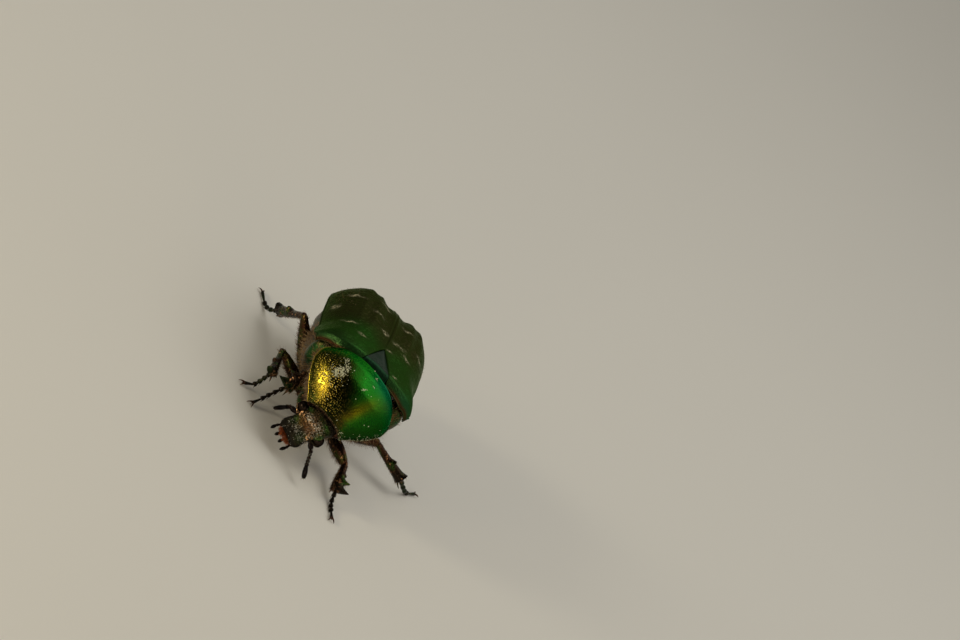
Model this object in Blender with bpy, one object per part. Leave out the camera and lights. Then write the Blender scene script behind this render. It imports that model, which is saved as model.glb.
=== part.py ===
"""Rose chafer, Cetonia aurata: a still, life-size beetle that stands on its six feet.

Lengths are millimetres in the beetle's own frame: X to its left, Y to its rear, Z up, with the
origin at the middle of the scutellum's base. The legs' joints and feet are given over the floor.
The last step turns every piece into metres.
"""

import math

import bmesh
import bpy
import numpy as np
from mathutils import Matrix, Vector

# Driving dimensions
GAP = 0.3
TRUNK_LIFT = 8.3
CENTRE_SHIFT = (-1.48, -2.9, 0.0)

PRONOTUM_TURN = (28.0, -7.8, 2.7)
PRONOTUM_PIVOT = (0.0, 0.0, -1.3)
PRONOTUM_SHIFT = (0.1, -0.14, 0.0)
PRONOTUM_LENGTH = 4.9
PRONOTUM_EDGE = 0.5

HEAD_TURN = (55.0, -24.9, -8.0)
HEAD_ORIGIN = (-0.81, -4.0, -4.57)
HEAD_LENGTH = 2.72
EYE_CENTRE = (1.4, -0.55, -0.35)
EYE_RADII = (0.42, 0.47, 0.5)

ELYTRON_LENGTH = 12.15
ELYTRON_THICKNESS = 0.6
SUTURE_X = 0.15
SCUTELLUM_LENGTH = 2.6
SCUTELLUM_HALF_WIDTH = 1.25
SCUTELLUM_THICKNESS = 0.6
ABDOMEN_START = 5.7

LEAST_RADIUS = 0.26
CLAW_LENGTH = 0.55
SPUR_CLEARANCE = 0.4

GREEN = ((0.05, 0.30, 0.06), 0.28, 0.9)
BLUE_GREEN = ((0.03, 0.10, 0.11), 0.3, 0.9)
BRONZE = ((0.09, 0.06, 0.03), 0.35, 0.7)
BLACK = ((0.015, 0.012, 0.012), 0.25, 0.1)
ORANGE = ((0.45, 0.13, 0.03), 0.7, 0.0)


def clear_scene():
    for old in list(bpy.data.objects):
        bpy.data.objects.remove(old)


def turned(pitch, yaw, roll):
    """A sclerite's turn: pitch about X, then yaw about its own Z, then roll about its own Y."""
    turn = Matrix.Rotation(math.radians(pitch), 4, "X")
    turn = turn @ Matrix.Rotation(math.radians(yaw), 4, "Z")
    return turn @ Matrix.Rotation(math.radians(roll), 4, "Y")


def shifted(offset):
    return Matrix.Translation(Vector(offset))


FLOOR = shifted(CENTRE_SHIFT)
TRUNK = FLOOR @ shifted((0, 0, TRUNK_LIFT))
PROTHORAX = (
    TRUNK
    @ shifted(PRONOTUM_SHIFT)
    @ shifted(PRONOTUM_PIVOT)
    @ turned(*PRONOTUM_TURN)
    @ shifted([-c for c in PRONOTUM_PIVOT])
)
HEAD = TRUNK @ shifted(HEAD_ORIGIN) @ turned(*HEAD_TURN)


# Curves and meshes


def curve(*keys):
    """A smooth function through (place, value) keys, with no overshoot between them."""
    at, value = (np.array(column, float) for column in zip(*keys))
    step = np.diff(value) / np.diff(at)
    middle = np.where(step[:-1] * step[1:] > 0, (step[:-1] + step[1:]) / 2, 0.0)
    slope = np.concatenate([[step[0]], middle, [step[-1]]])

    def sample(x):
        x = min(max(x, at[0]), at[-1])
        i = min(int(np.searchsorted(at, x, side="right")) - 1, len(at) - 2)
        width = at[i + 1] - at[i]
        t = (x - at[i]) / width
        rise = value[i] * (1 + 2 * t) * (1 - t) ** 2 + value[i + 1] * t * t * (3 - 2 * t)
        return rise + width * (slope[i] * t * (1 - t) ** 2 + slope[i + 1] * t * t * (t - 1))

    return sample


def smooth_path(stops):
    """A smooth line through points, as a function of the share of its length."""
    spans = [(Vector(b) - Vector(a)).length for a, b in zip(stops, stops[1:])]
    shares = [sum(spans[:i]) / sum(spans) for i in range(len(stops))]
    axes = [curve(*zip(shares, column)) for column in zip(*stops)]
    return lambda share: Vector([axis(share) for axis in axes])


def mesh_object(name, points, faces, frame):
    """A closed mesh object from points in one of the beetle's frames, its faces turned outwards."""
    mesh = bpy.data.meshes.new(name)
    mesh.from_pydata([frame @ Vector(p) for p in points], [], faces)
    shape = bmesh.new()
    shape.from_mesh(mesh)
    bmesh.ops.recalc_face_normals(shape, faces=shape.faces)
    if shape.calc_volume(signed=True) < 0:
        bmesh.ops.reverse_faces(shape, faces=shape.faces)
    shape.to_mesh(mesh)
    shape.free()
    obj = bpy.data.objects.new(name, mesh)
    bpy.context.scene.collection.objects.link(obj)
    return obj


def shell(name, top, bottom, across, along, frame):
    """A closed plate between two surfaces of (u, v), split into triangles alike on both."""
    spots = [(i / across, j / along) for j in range(along + 1) for i in range(across + 1)]
    points = [top(u, v) for u, v in spots] + [bottom(u, v) for u, v in spots]
    row, below = across + 1, len(spots)
    faces = []
    for j in range(along):
        for i in range(across):
            a = j * row + i
            for tri in ((a, a + 1, a + row), (a + 1, a + row + 1, a + row)):
                faces.append(tri)
                faces.append(tuple(below + k for k in reversed(tri)))
    rim = list(range(across + 1)) + [j * row + across for j in range(1, along + 1)]
    rim += [along * row + i for i in reversed(range(across))]
    rim += [j * row for j in reversed(range(1, along))]
    for a, b in zip(rim, rim[1:] + rim[:1]):
        faces.append((b, a, below + a))
        faces.append((b, below + a, below + b))
    return mesh_object(name, points, faces, frame)


def loft(name, rings, frame):
    """A closed solid through like rings of points, with a fan over each end."""
    count = len(rings[0])
    points = [p for ring in rings for p in ring]
    faces = []
    for j in range(len(rings) - 1):
        for i in range(count):
            a, b = j * count + i, j * count + (i + 1) % count
            faces.append((a, b, b + count, a + count))
    for ring, start in ((rings[0], 0), (rings[-1], (len(rings) - 1) * count)):
        hub = len(points)
        points.append(tuple(np.mean(np.array(ring), axis=0)))
        faces += [(start + i, start + (i + 1) % count, hub) for i in range(count)]
    return mesh_object(name, points, faces, frame)


def body_ring(y, half, side_z, top_z, bottom_z, count=20):
    """One cross-section of the trunk: an oval below its widest height, and narrower above."""
    ring = []
    for k in range(count):
        angle = 2 * math.pi * k / count
        c, s = math.cos(angle), math.sin(angle)
        x = half * math.copysign(abs(c) ** (1.3 if s > 0 else 0.9), c)
        reach = top_z - side_z if s > 0 else side_z - bottom_z
        ring.append((x, y, side_z + reach * math.copysign(abs(s) ** 0.9, s)))
    return ring


def box_ring(y, half, side_z, top_z, bottom_z, count=18):
    """One cross-section of the head or the mouthparts: a rounded box."""
    ring = []
    for k in range(count):
        angle = 2 * math.pi * k / count
        c, s = math.cos(angle), math.sin(angle)
        reach = top_z - side_z if s > 0 else side_z - bottom_z
        x = half * math.copysign(abs(c) ** 0.85, c)
        ring.append((x, y, side_z + reach * math.copysign(abs(s) ** 0.85, s)))
    return ring


def limb(name, path, radii, frame, wide=1.0, flat_along=(0, 0, 1), sides=10):
    """A round-ended rod along a path. Across flat_along it is wider than its radii by wide."""
    path = [Vector(p) for p in path]
    first, last = (path[1] - path[0]).normalized(), (path[-1] - path[-2]).normalized()
    stations = [(path[0] - first * radii[0] * 0.5, radii[0] * 0.6)]
    stations += list(zip(path, radii))
    stations += [(path[-1] + last * radii[-1] * 0.5, radii[-1] * 0.6)]
    rings = []
    for j, (centre, radius) in enumerate(stations):
        before = stations[max(j - 1, 0)][0]
        after = stations[min(j + 1, len(stations) - 1)][0]
        along = (after - before).normalized()
        across = along.cross(Vector(flat_along)).normalized()
        up = across.cross(along).normalized()
        ring = []
        for k in range(sides):
            angle = 2 * math.pi * k / sides
            spoke = across * math.cos(angle) * wide + up * math.sin(angle)
            ring.append(tuple(centre + spoke * radius))
        rings.append(ring)
    return loft(name, rings, frame)


def spike(name, root, tip, radius, frame, sides=5):
    """A tapered tooth, spur or claw."""
    root, tip = Vector(root), Vector(tip)
    path = [root, root.lerp(tip, 0.5), tip]
    hint = (0, 0, 1) if abs((tip - root).normalized().z) < 0.9 else (0, 1, 0)
    return limb(name, path, [radius, radius * 0.7, radius * 0.2], frame, 1.0, hint, sides)


def ball(name, centre, radii, frame, tilt=0.0, segments=16, rings=10):
    """An ellipsoid, which may be tilted about the X axis."""
    turn = Matrix.Rotation(math.radians(tilt), 3, "X")
    loops = []
    for j in range(1, rings):
        polar = math.pi * j / rings
        loop = []
        for k in range(segments):
            angle = 2 * math.pi * k / segments
            spot = Vector(
                (
                    radii[0] * math.sin(polar) * math.cos(angle),
                    radii[1] * math.sin(polar) * math.sin(angle),
                    radii[2] * math.cos(polar),
                )
            )
            loop.append(tuple(Vector(centre) + turn @ spot))
        loops.append(loop)
    return loft(name, loops, frame)


# Joining and parting


def keep_largest(mesh):
    """Drops every closed surface of a mesh but the largest."""
    shape = bmesh.new()
    shape.from_mesh(mesh)
    bmesh.ops.triangulate(shape, faces=shape.faces)
    left, parts = set(shape.faces), []
    while left:
        stack = [left.pop()]
        part = set(stack)
        while stack:
            for edge in stack.pop().edges:
                for face in edge.link_faces:
                    if face in left:
                        left.remove(face)
                        part.add(face)
                        stack.append(face)
        parts.append(part)
    parts.sort(key=lambda part: sum(face.calc_area() for face in part))
    scraps = [face for part in parts[:-1] for face in part]
    bmesh.ops.delete(shape, geom=scraps, context="FACES")
    bmesh.ops.triangulate(shape, faces=shape.faces)
    shape.to_mesh(mesh)
    shape.free()


def apply_modifiers(obj):
    graph = bpy.context.evaluated_depsgraph_get()
    mesh = bpy.data.meshes.new_from_object(obj.evaluated_get(graph))
    obj.modifiers.clear()
    obj.data = mesh
    keep_largest(mesh)


def fuse(name, pieces):
    """One closed solid from overlapping ones: a union on the collection of the others."""
    base, others = pieces[0], bpy.data.collections.new(name + "_pieces")
    for piece in pieces[1:]:
        others.objects.link(piece)
    join = base.modifiers.new("join", "BOOLEAN")
    join.operation, join.operand_type, join.collection = "UNION", "COLLECTION", others
    join.solver = "MANIFOLD"
    apply_modifiers(base)
    for piece in pieces[1:]:
        bpy.data.objects.remove(piece)
    bpy.data.collections.remove(others)
    base.name = name
    return base


def grown(obj, by):
    """A copy of a solid, swollen on all sides."""
    mesh = obj.data.copy()
    mesh.update()
    moved = [v.co + v.normal * by for v in mesh.vertices]
    for vertex, spot in zip(mesh.vertices, moved):
        vertex.co = spot
    copy = bpy.data.objects.new(obj.name + "_grown", mesh)
    bpy.context.scene.collection.objects.link(copy)
    return copy


def part_from(obj, *neighbours):
    """Cuts a solid back so that it meets each neighbour face to face across the gap."""
    for neighbour in neighbours:
        cutter = grown(neighbour, GAP)
        cut = obj.modifiers.new("gap", "BOOLEAN")
        cut.operation, cut.object, cut.solver = "DIFFERENCE", cutter, "MANIFOLD"
        apply_modifiers(obj)
        bpy.data.objects.remove(cutter)
    return obj


def flatten_foot(obj):
    """Cuts a foot level with the floor, which gives it the small flats that it stands on."""
    slab = 4.0
    corners = [(x, y, z) for z in (-slab, 0.0) for x in (-30, 30) for y in (-30, 30)]
    faces = [(0, 1, 3, 2), (4, 6, 7, 5), (0, 4, 5, 1), (2, 3, 7, 6), (0, 2, 6, 4), (1, 5, 7, 3)]
    block = mesh_object("floor_cut", corners, faces, Matrix())
    cut = obj.modifiers.new("floor", "BOOLEAN")
    cut.operation, cut.object, cut.solver = "DIFFERENCE", block, "MANIFOLD"
    apply_modifiers(obj)
    bpy.data.objects.remove(block)


def finish(obj, look):
    """Gives a node its own material and smooth shading, and turns it from millimetres to metres."""
    colour, roughness, metallic = look
    material = bpy.data.materials.new(obj.name)
    material.use_nodes = True
    shader = material.node_tree.nodes["Principled BSDF"]
    shader.inputs["Base Color"].default_value = (*colour, 1.0)
    shader.inputs["Roughness"].default_value = roughness
    shader.inputs["Metallic"].default_value = metallic
    obj.data.materials.clear()
    obj.data.materials.append(material)
    obj.data.transform(Matrix.Scale(0.001, 4))
    obj.data.shade_smooth()
    obj.data.set_sharp_from_angle(angle=math.radians(50))


# Pronotum and prosternum, in the prothorax's frame: v runs from the base to the front

PRONOTUM_HALF_WIDTH = curve(
    (0, 3.55), (0.12, 3.85), (0.3, 3.88), (0.5, 3.52), (0.7, 2.95), (0.87, 2.3), (1, 1.85)
)
PRONOTUM_CROWN = curve((0, 0.12), (0.2, 0.35), (0.4, 0.35), (0.6, 0.05), (0.8, -0.5), (1, -1.25))
PRONOTUM_MARGIN = curve((0, -1.6), (0.5, -1.85), (1, -2.05))
PROSTERNUM_DEPTH = curve((0, 1.5), (0.25, 2.3), (0.55, 2.4), (0.8, 1.6), (1, 0.7))


def dome(r, power, fall):
    """0 on the middle line and 1 at the margin, where it falls steeply."""
    return 1 - max(1 - abs(r) ** power, 0.0) ** fall


def pronotum_y(r, v):
    base = -0.05 - 0.5 * r**4
    front = -PRONOTUM_LENGTH - 0.05 * r * r
    return base + (front - base) * v


def pronotum_top(u, v):
    r = 2 * u - 1
    margin = PRONOTUM_MARGIN(v)
    z = margin + (PRONOTUM_CROWN(v) - margin) * (1 - dome(r, 2.2, 0.8))
    return (r * PRONOTUM_HALF_WIDTH(v), pronotum_y(r, v), z)


def pronotum_under(u, v):
    x, y, z = pronotum_top(u, v)
    margin = PRONOTUM_MARGIN(v)
    return (x * 0.94, y, margin - PRONOTUM_EDGE + (z - margin) * 0.45)


def prosternum_top(u, v):
    x, y, z = pronotum_under(u, v)
    return (x * 0.96, y * 0.96 - 0.1, z - GAP)


def prosternum_under(u, v):
    x, y, _ = prosternum_top(u, v)
    r = 2 * u - 1
    depth = PROSTERNUM_DEPTH(v) * (1 - abs(r) ** 1.15) + 0.3
    return (x * (1 - 0.12 * (1 - abs(r))), y, PRONOTUM_MARGIN(v) - PRONOTUM_EDGE - GAP - depth)


def make_prothorax():
    pronotum = shell("pronotum", pronotum_top, pronotum_under, 16, 12, PROTHORAX)
    prosternum = shell("prosternum", prosternum_top, prosternum_under, 10, 8, PROTHORAX)
    return pronotum, prosternum


# Elytra and scutellum, in the trunk's frame: s runs from the suture to the margin, t to the rear

ELYTRON_HALF_WIDTH = curve(
    (0.1, 3.9), (0.6, 4.4), (1.3, 4.82), (2.2, 4.82), (3.4, 4.58), (5.2, 4.74), (7.2, 4.74),
    (9.0, 4.45), (10.4, 3.65), (11.4, 2.6), (12.2, 1.2),
)  # fmt: skip
ELYTRON_BASE = curve((0, 0.12), (0.45, 0.08), (0.8, 0.3), (1, 0.95))
ELYTRON_DISC = curve(
    (0, 0.0), (2.6, 0.2), (6, 0.4), (8.4, 0.2), (10, -0.5), (11.2, -1.4), (12.2, -2.6)
)
ELYTRON_FALL = curve((0.1, 2.0), (1, 2.35), (3, 2.7), (6, 2.8), (9, 2.5), (10.6, 1.8), (12.2, 0.6))


def scutellum_half_width(y):
    return SCUTELLUM_HALF_WIDTH * max(1 - y / SCUTELLUM_LENGTH, 0.0) ** 0.9 + 0.1


def elytron_inner_x(y):
    """The inner edge follows the scutellum's side, then the suture."""
    clear = scutellum_half_width(y) + GAP if y < SCUTELLUM_LENGTH + 0.2 else 0.0
    return max(SUTURE_X, clear)


def bump(x, y, centre, radius, height):
    away = ((x - centre[0]) ** 2 + (y - centre[1]) ** 2) / radius**2
    return height * math.exp(-away)


def elytron_top(s, t):
    y = ELYTRON_BASE(s) + (ELYTRON_LENGTH - 0.8 * s * s - ELYTRON_BASE(s)) * t
    half = ELYTRON_HALF_WIDTH(y)
    inner = elytron_inner_x(y)
    x = inner + (half - inner) * s
    z = ELYTRON_DISC(y) - ELYTRON_FALL(y) * dome(x / half, 3.4, 0.75)
    z += bump(x, y, (3.7, 1.4), 0.8, 0.15) + bump(x, y, (2.5, 9.8), 1.1, 0.3)
    z -= bump(x, y, (0.0, y), 0.7, 0.12)
    return (x, y, z)


def inwards(surface, depth):
    """The surface that lies a depth under another one."""
    step = 1e-3

    def under(u, v):
        spot = Vector(surface(u, v))
        ahead = Vector(surface(u + step, v)) - Vector(surface(u - step, v))
        aside = Vector(surface(u, v + step)) - Vector(surface(u, v - step))
        normal = ahead.cross(aside).normalized()
        return tuple(spot - normal * math.copysign(depth, normal.z))

    return under


def elytron_under(s, t):
    x, y, z = inwards(elytron_top, ELYTRON_THICKNESS)(s, t)
    return (max(x, elytron_inner_x(elytron_top(s, t)[1])), y, z)


def mirrored(surface, side):
    return lambda u, v: tuple(c * side if i == 0 else c for i, c in enumerate(surface(u, v)))


def make_elytra():
    elytra = []
    for name, side in (("left", 1), ("right", -1)):
        top, under = mirrored(elytron_top, side), mirrored(elytron_under, side)
        elytra.append(shell("elytron_" + name, top, under, 10, 16, TRUNK))
    return elytra


def make_scutellum():
    def top(u, v):
        y = SCUTELLUM_LENGTH * v
        r = 2 * u - 1
        return (r * scutellum_half_width(y), y, 0.02 - 0.1 * r * r)

    def bottom(u, v):
        x, y, z = top(u, v)
        return (x, y, z - SCUTELLUM_THICKNESS)

    return shell("scutellum", top, bottom, 6, 8, TRUNK)


# Trunk under the elytra


def make_thorax():
    stations = (
        (0.4, 1.9, -3.6, -1.9, -5.0),
        (1.1, 3.2, -3.8, -1.5, -5.9),
        (2.3, 4.1, -3.9, -1.2, -6.4),
        (3.8, 4.2, -3.9, -1.15, -6.5),
        (ABDOMEN_START - GAP, 4.2, -3.9, -1.1, -6.4),
    )
    return loft("thorax", [body_ring(*station) for station in stations], TRUNK)


def make_abdomen():
    stations = (
        (ABDOMEN_START, 4.2, -3.9, -1.1, -6.4),
        (7.6, 4.2, -3.9, -1.15, -6.4),
        (9.2, 3.9, -3.95, -1.5, -6.2),
        (10.5, 3.2, -4.05, -2.2, -5.9),
        (11.3, 2.3, -4.2, -3.1, -5.5),
        (11.7, 1.6, -4.3, -3.6, -5.2),
    )
    return loft("abdomen", [body_ring(*station) for station in stations], TRUNK)


def make_pygidium():
    """The last plate, which faces back and down below the elytra's ends."""

    def outer(u, v):
        r = 2 * u - 1
        half = 2.1 * (1 - v) ** 0.7 + 0.5
        y = 11.35 + 0.9 * math.sin(math.pi * (0.2 + 0.65 * v)) - 0.7 * r * r
        return (r * half, y, -3.1 - 2.3 * v)

    def inner(u, v):
        x, y, z = outer(u, v)
        return (x * 0.94, y - 0.6, z + 0.05)

    return shell("pygidium", outer, inner, 10, 7, TRUNK)


def make_mesepimeron(name, side):
    """The side plate that shows from above between the pronotum and the elytron's shoulder."""
    return ball("mesepimeron_" + name, (side * 3.4, 0.75, -3.0), (0.9, 0.7, 1.2), TRUNK, 12, 12, 8)


# Head, in its own frame: y runs from the nape, at 0, to the front of the clypeus

HEAD_HALF_WIDTH = curve(
    (-2.72, 0.5), (-2.62, 0.9), (-2.4, 1.1), (-2.05, 1.16), (-1.5, 1.08), (-1.15, 1.12),
    (-0.6, 1.36), (0.1, 1.3), (0.8, 0.95),
)  # fmt: skip
HEAD_TOP = curve((-2.72, -0.12), (-2.5, -0.05), (-1.8, -0.12), (-1.0, 0.0), (-0.3, 0.02), (0.8, -0.25))
HEAD_UNDER = curve((-2.72, -0.45), (-2.2, -0.55), (-1.5, -0.95), (-0.7, -1.5), (0.1, -1.6), (0.8, -1.3))


def head_ring(y, count=18):
    half, top, under = HEAD_HALF_WIDTH(y), HEAD_TOP(y), HEAD_UNDER(y)
    side = top - 0.42 * (top - under)
    return box_ring(y, half, side, top, under, count)


def make_head():
    stations = np.concatenate([np.linspace(-HEAD_LENGTH, -2.4, 4), np.linspace(-2.1, 0.8, 10)])
    return loft("head", [head_ring(y) for y in stations], HEAD)


def make_eye(name, side):
    x, y, z = EYE_CENTRE
    return ball("eye_" + name, (side * x, y, z), EYE_RADII, HEAD, 0, 12, 8)


ANTENNA_JOINTS = {
    "left": ((1.0, -1.12, -0.4), (1.75, -1.3, -0.3), (2.53, -2.05, -0.15), (3.5, -2.8, 0.0)),
    "right": ((-1.0, -1.12, -0.4), (-1.74, -1.4, -0.3), (-1.85, -1.75, -0.1), (-2.15, -2.75, 0.15)),
}


def make_antenna(name, joints):
    """Scape, funicle and the club of three leaves, held shut."""
    root, scape_end, funicle_end, club_end = (Vector(j) for j in joints)
    stem = [root, root.lerp(scape_end, 0.6), scape_end, scape_end.lerp(funicle_end, 0.5), funicle_end]
    radii = [LEAST_RADIUS, 0.3, LEAST_RADIUS, LEAST_RADIUS, LEAST_RADIUS + 0.02]
    rod = limb("stem", stem, radii, HEAD, sides=8)
    club = [funicle_end.lerp(club_end, t) for t in (0.0, 0.15, 0.5, 0.85, 1.0)]
    leaf = limb("club", club, [0.2, 0.28, 0.34, 0.3, 0.2], HEAD, sides=10)
    return fuse("antenna_" + name, [rod, leaf])


def make_mouthparts():
    """Mentum and maxillae under the clypeus, with the brush that shows past its edge."""
    stations = (
        (-0.8, 0.7, -1.4, -0.9, -2.0),
        (-1.5, 0.85, -1.2, -0.4, -1.9),
        (-2.3, 0.85, -0.9, -0.2, -1.5),
        (-2.75, 0.7, -0.75, -0.3, -1.3),
        (-3.0, 0.45, -0.8, -0.5, -1.1),
    )
    return loft("mouthparts", [box_ring(*station, 12) for station in stations], HEAD)


def make_palp(name, root, tip, bend):
    root, tip = Vector(root), Vector(tip)
    middle = root.lerp(tip, 0.5) + Vector(bend)
    radii = [LEAST_RADIUS, LEAST_RADIUS, LEAST_RADIUS * 0.8]
    return limb(name, [root, middle, tip], radii, HEAD, sides=8)


# Legs: joints are over the floor, X to the left and Y to the rear of the scutellum's base

LEGS = {
    "fore_left": {
        "coxa": (0.85, -0.9, 2.4), "hip": (1.3, -1.2, 2.1), "knee": (3.45, -2.5, 1.7),
        "ankle": (3.9, -4.6, 0.8), "toes": ((4.15, -5.5, 0.32), (4.4, -6.3, 0.24), (4.65, -7.1, 0.24)),
        "outer": (0.9, -0.2, 0.4), "thick": 1.05,
    },
    "fore_right": {
        "coxa": (-1.75, -0.7, 2.7), "hip": (-2.0, -0.55, 3.0), "knee": (-2.95, 0.2, 4.75),
        "ankle": (-3.6, -0.95, 2.4), "toes": ((-4.0, -1.15, 1.4), (-4.35, -1.5, 0.5), (-4.7, -2.2, 0.24)),
        "outer": (-0.6, -0.5, 0.6), "thick": 1.0,
    },
    "middle_left": {
        "coxa": (1.5, 1.7, 2.0), "hip": (1.95, 1.8, 1.5), "knee": (5.1, 2.7, 2.3),
        "ankle": (8.3, 2.6, 1.45), "toes": ((9.2, 3.3, 0.75), (9.9, 4.1, 0.26), (10.5, 4.9, 0.24)),
        "outer": (0.2, -0.3, 1.0), "thick": 0.95,
    },
    "middle_right": {
        "coxa": (-1.5, 1.7, 2.0), "hip": (-1.95, 1.75, 1.5), "knee": (-5.25, 2.2, 2.8),
        "ankle": (-5.1, -0.6, 2.35), "toes": ((-5.15, -0.5, 1.3), (-5.35, -0.5, 0.45), (-5.95, -0.8, 0.24)),
        "outer": (-1.0, 0.0, 0.4), "thick": 0.95,
    },
    "hind_left": {
        "coxa": (2.0, 4.4, 2.0), "hip": (2.5, 4.6, 1.4), "knee": (5.35, 6.3, 4.2),
        "ankle": (5.9, 9.6, 1.6), "toes": ((6.15, 10.6, 0.65), (6.45, 11.5, 0.26), (6.9, 12.9, 0.24)),
        "outer": (0.7, -0.3, 0.8), "thick": 1.1,
    },
    "hind_right": {
        "coxa": (-2.0, 4.4, 2.0), "hip": (-2.5, 4.6, 1.4), "knee": (-5.3, 6.0, 4.3),
        "ankle": (-6.2, 9.2, 1.6), "toes": ((-6.6, 10.2, 0.65), (-7.0, 11.1, 0.26), (-7.6, 12.4, 0.24)),
        "outer": (-0.7, -0.3, 0.8), "thick": 1.1,
    },
}  # fmt: skip
COXA_RADII = {"fore": (0.75, 0.7, 0.85), "middle": (0.8, 0.75, 0.7), "hind": (1.3, 0.85, 0.6)}


def make_coxa(name, leg):
    pair = name.split("_")[0]
    return ball(name + "_coxa", leg["coxa"], COXA_RADII[pair], FLOOR, 0, 12, 7)


def make_femur(name, leg):
    hip, knee = Vector(leg["hip"]), Vector(leg["knee"])
    path = [hip.lerp(knee, t) for t in (0.0, 0.25, 0.5, 0.8, 1.0)]
    radii = [r * leg["thick"] for r in (0.32, 0.42, 0.48, 0.42, 0.34)]
    return limb(name + "_femur", path, radii, FLOOR, 0.85)


def make_tibia(name, leg):
    """The shin, which widens to the ankle, with its teeth and its spur, and a plain copy of it.

    The fore one is a flat digging blade. The spur points away from the foot.
    """
    knee, ankle, outer = Vector(leg["knee"]), Vector(leg["ankle"]), Vector(leg["outer"])
    along = (ankle - knee).normalized()
    outer = (outer - along * outer.dot(along)).normalized()
    flat = outer.cross(along)
    length = (ankle - knee).length
    fore = name.startswith("fore")
    path = [knee.lerp(ankle, t) for t in (0.0, 0.12, 0.35, 0.65, 0.9, 1.0)]
    radii = (0.28, 0.27, 0.28, 0.32, 0.36, 0.34) if fore else (0.3, 0.28, 0.3, 0.36, 0.42, 0.4)
    radii = [r * leg["thick"] for r in radii]
    pieces = [limb("shin", path, radii, FLOOR, 1.45 if fore else 1.0, flat)]
    plain = grown(pieces[0], 0)
    for place in (0.62, 0.97) if fore else (0.6,):
        root = knee + along * length * place + outer * 0.25
        tip = root + outer * 0.55 + along * 0.25
        pieces.append(spike("tooth", root, tip, 0.26, FLOOR))
    foot = (Vector(leg["toes"][0]) - ankle).normalized()
    away = (along - foot * along.dot(foot)).normalized()
    if away.dot(outer) > 0.5:
        away = -outer
    root = ankle + away * 0.15 - along * 0.1
    tip = root + along * 0.4 + away * 0.6
    tip.z = max(tip.z, SPUR_CLEARANCE)
    pieces.append(spike("spur", root, tip, 0.2, FLOOR))
    return fuse(name + "_tibia", pieces), plain


def make_tarsus(name, leg):
    """Five short joints from the ankle to the floor, and the two claws."""
    along = smooth_path([leg["ankle"], *leg["toes"]])
    joints = 5
    pieces = []
    for k in range(joints):
        start, stop = along(max(k / joints, 0.01)), along((k + 0.97) / joints)
        pieces.append(limb("joint", [start, stop], [LEAST_RADIUS, 0.33], FLOOR, sides=8))
    end = along(1)
    ahead = (end - along(0.9)).normalized()
    across = ahead.cross(Vector((0, 0, 1))).normalized()
    for side in (-1, 1):
        root = end + across * 0.1 * side
        tip = end + ahead * CLAW_LENGTH + across * 0.3 * side
        tip.z = 0.14
        pieces.append(spike("claw", root, tip, 0.2, FLOOR))
    tarsus = fuse(name + "_tarsus", pieces)
    flatten_foot(tarsus)
    return tarsus


# Assembly


def build():
    clear_scene()
    pronotum, prosternum = make_prothorax()
    elytra = make_elytra()
    scutellum = make_scutellum()
    thorax, abdomen, pygidium = make_thorax(), make_abdomen(), make_pygidium()
    head = make_head()
    eyes = [make_eye("left", 1), make_eye("right", -1)]
    part_from(head, *eyes)
    part_from(prosternum, head, *eyes)
    part_from(pronotum, head, *eyes)
    part_from(scutellum, pronotum)
    for elytron in elytra:
        part_from(elytron, pronotum)
    part_from(thorax, pronotum, prosternum)
    part_from(pygidium, *elytra)
    part_from(abdomen, pygidium)
    mesepimera = [make_mesepimeron("left", 1), make_mesepimeron("right", -1)]
    for plate in mesepimera:
        part_from(plate, thorax, pronotum, prosternum, *elytra)

    mouthparts = part_from(make_mouthparts(), head)
    antennae = [make_antenna(name, joints) for name, joints in ANTENNA_JOINTS.items()]
    palps = [
        make_palp("maxillary_palp_left", (0.7, -2.2, -0.95), (0.78, -3.4, -0.6), (0.12, 0, -0.1)),
        make_palp("maxillary_palp_right", (-0.7, -2.2, -0.95), (-0.93, -3.35, -0.6), (-0.12, 0, -0.1)),
        make_palp("labial_palp_left", (0.22, -2.5, -1.0), (0.22, -3.25, -0.75), (0, 0, -0.05)),
        make_palp("labial_palp_right", (-0.3, -2.5, -1.0), (-0.36, -3.25, -0.75), (0, 0, -0.05)),
    ]
    for piece in antennae:
        part_from(piece, head)
    for piece in palps:
        part_from(piece, mouthparts, head)

    chitin = {GREEN: [pronotum, *elytra, *mesepimera], BLUE_GREEN: [scutellum]}
    chitin[BRONZE] = [head, prosternum, thorax, abdomen, pygidium]
    chitin[BLACK] = [*eyes, *antennae, *palps]
    chitin[ORANGE] = [mouthparts]
    for name, leg in LEGS.items():
        coxa = part_from(make_coxa(name, leg), thorax, prosternum, abdomen)
        femur = part_from(make_femur(name, leg), coxa, thorax, prosternum, abdomen)
        for plate in mesepimera:
            part_from(plate, femur)
        tibia, shin = make_tibia(name, leg)
        part_from(tibia, femur)
        tarsus = part_from(make_tarsus(name, leg), shin)
        bpy.data.objects.remove(shin)
        chitin[BRONZE] += [coxa, femur, tibia, tarsus]
    for look, pieces in chitin.items():
        for piece in pieces:
            finish(piece, look)


build()
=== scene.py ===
"""Looks of the rose chafer, a still, life-size beetle that stands on its six feet.

Lengths are millimetres in the beetle's own frames, as in the solids: X to its left, Y to its rear and
Z up, from the middle of the scutellum's base, and over the floor for the legs. place() turns them
into metres in the model's frame. The skins are grids of points with their relief in the mesh: pits,
ridges, beads and grooves. Masks worked out on the same grids carry the markings to the materials.
"""

import math

import bpy
import numpy as np
from mathutils import Matrix, Vector


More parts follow.
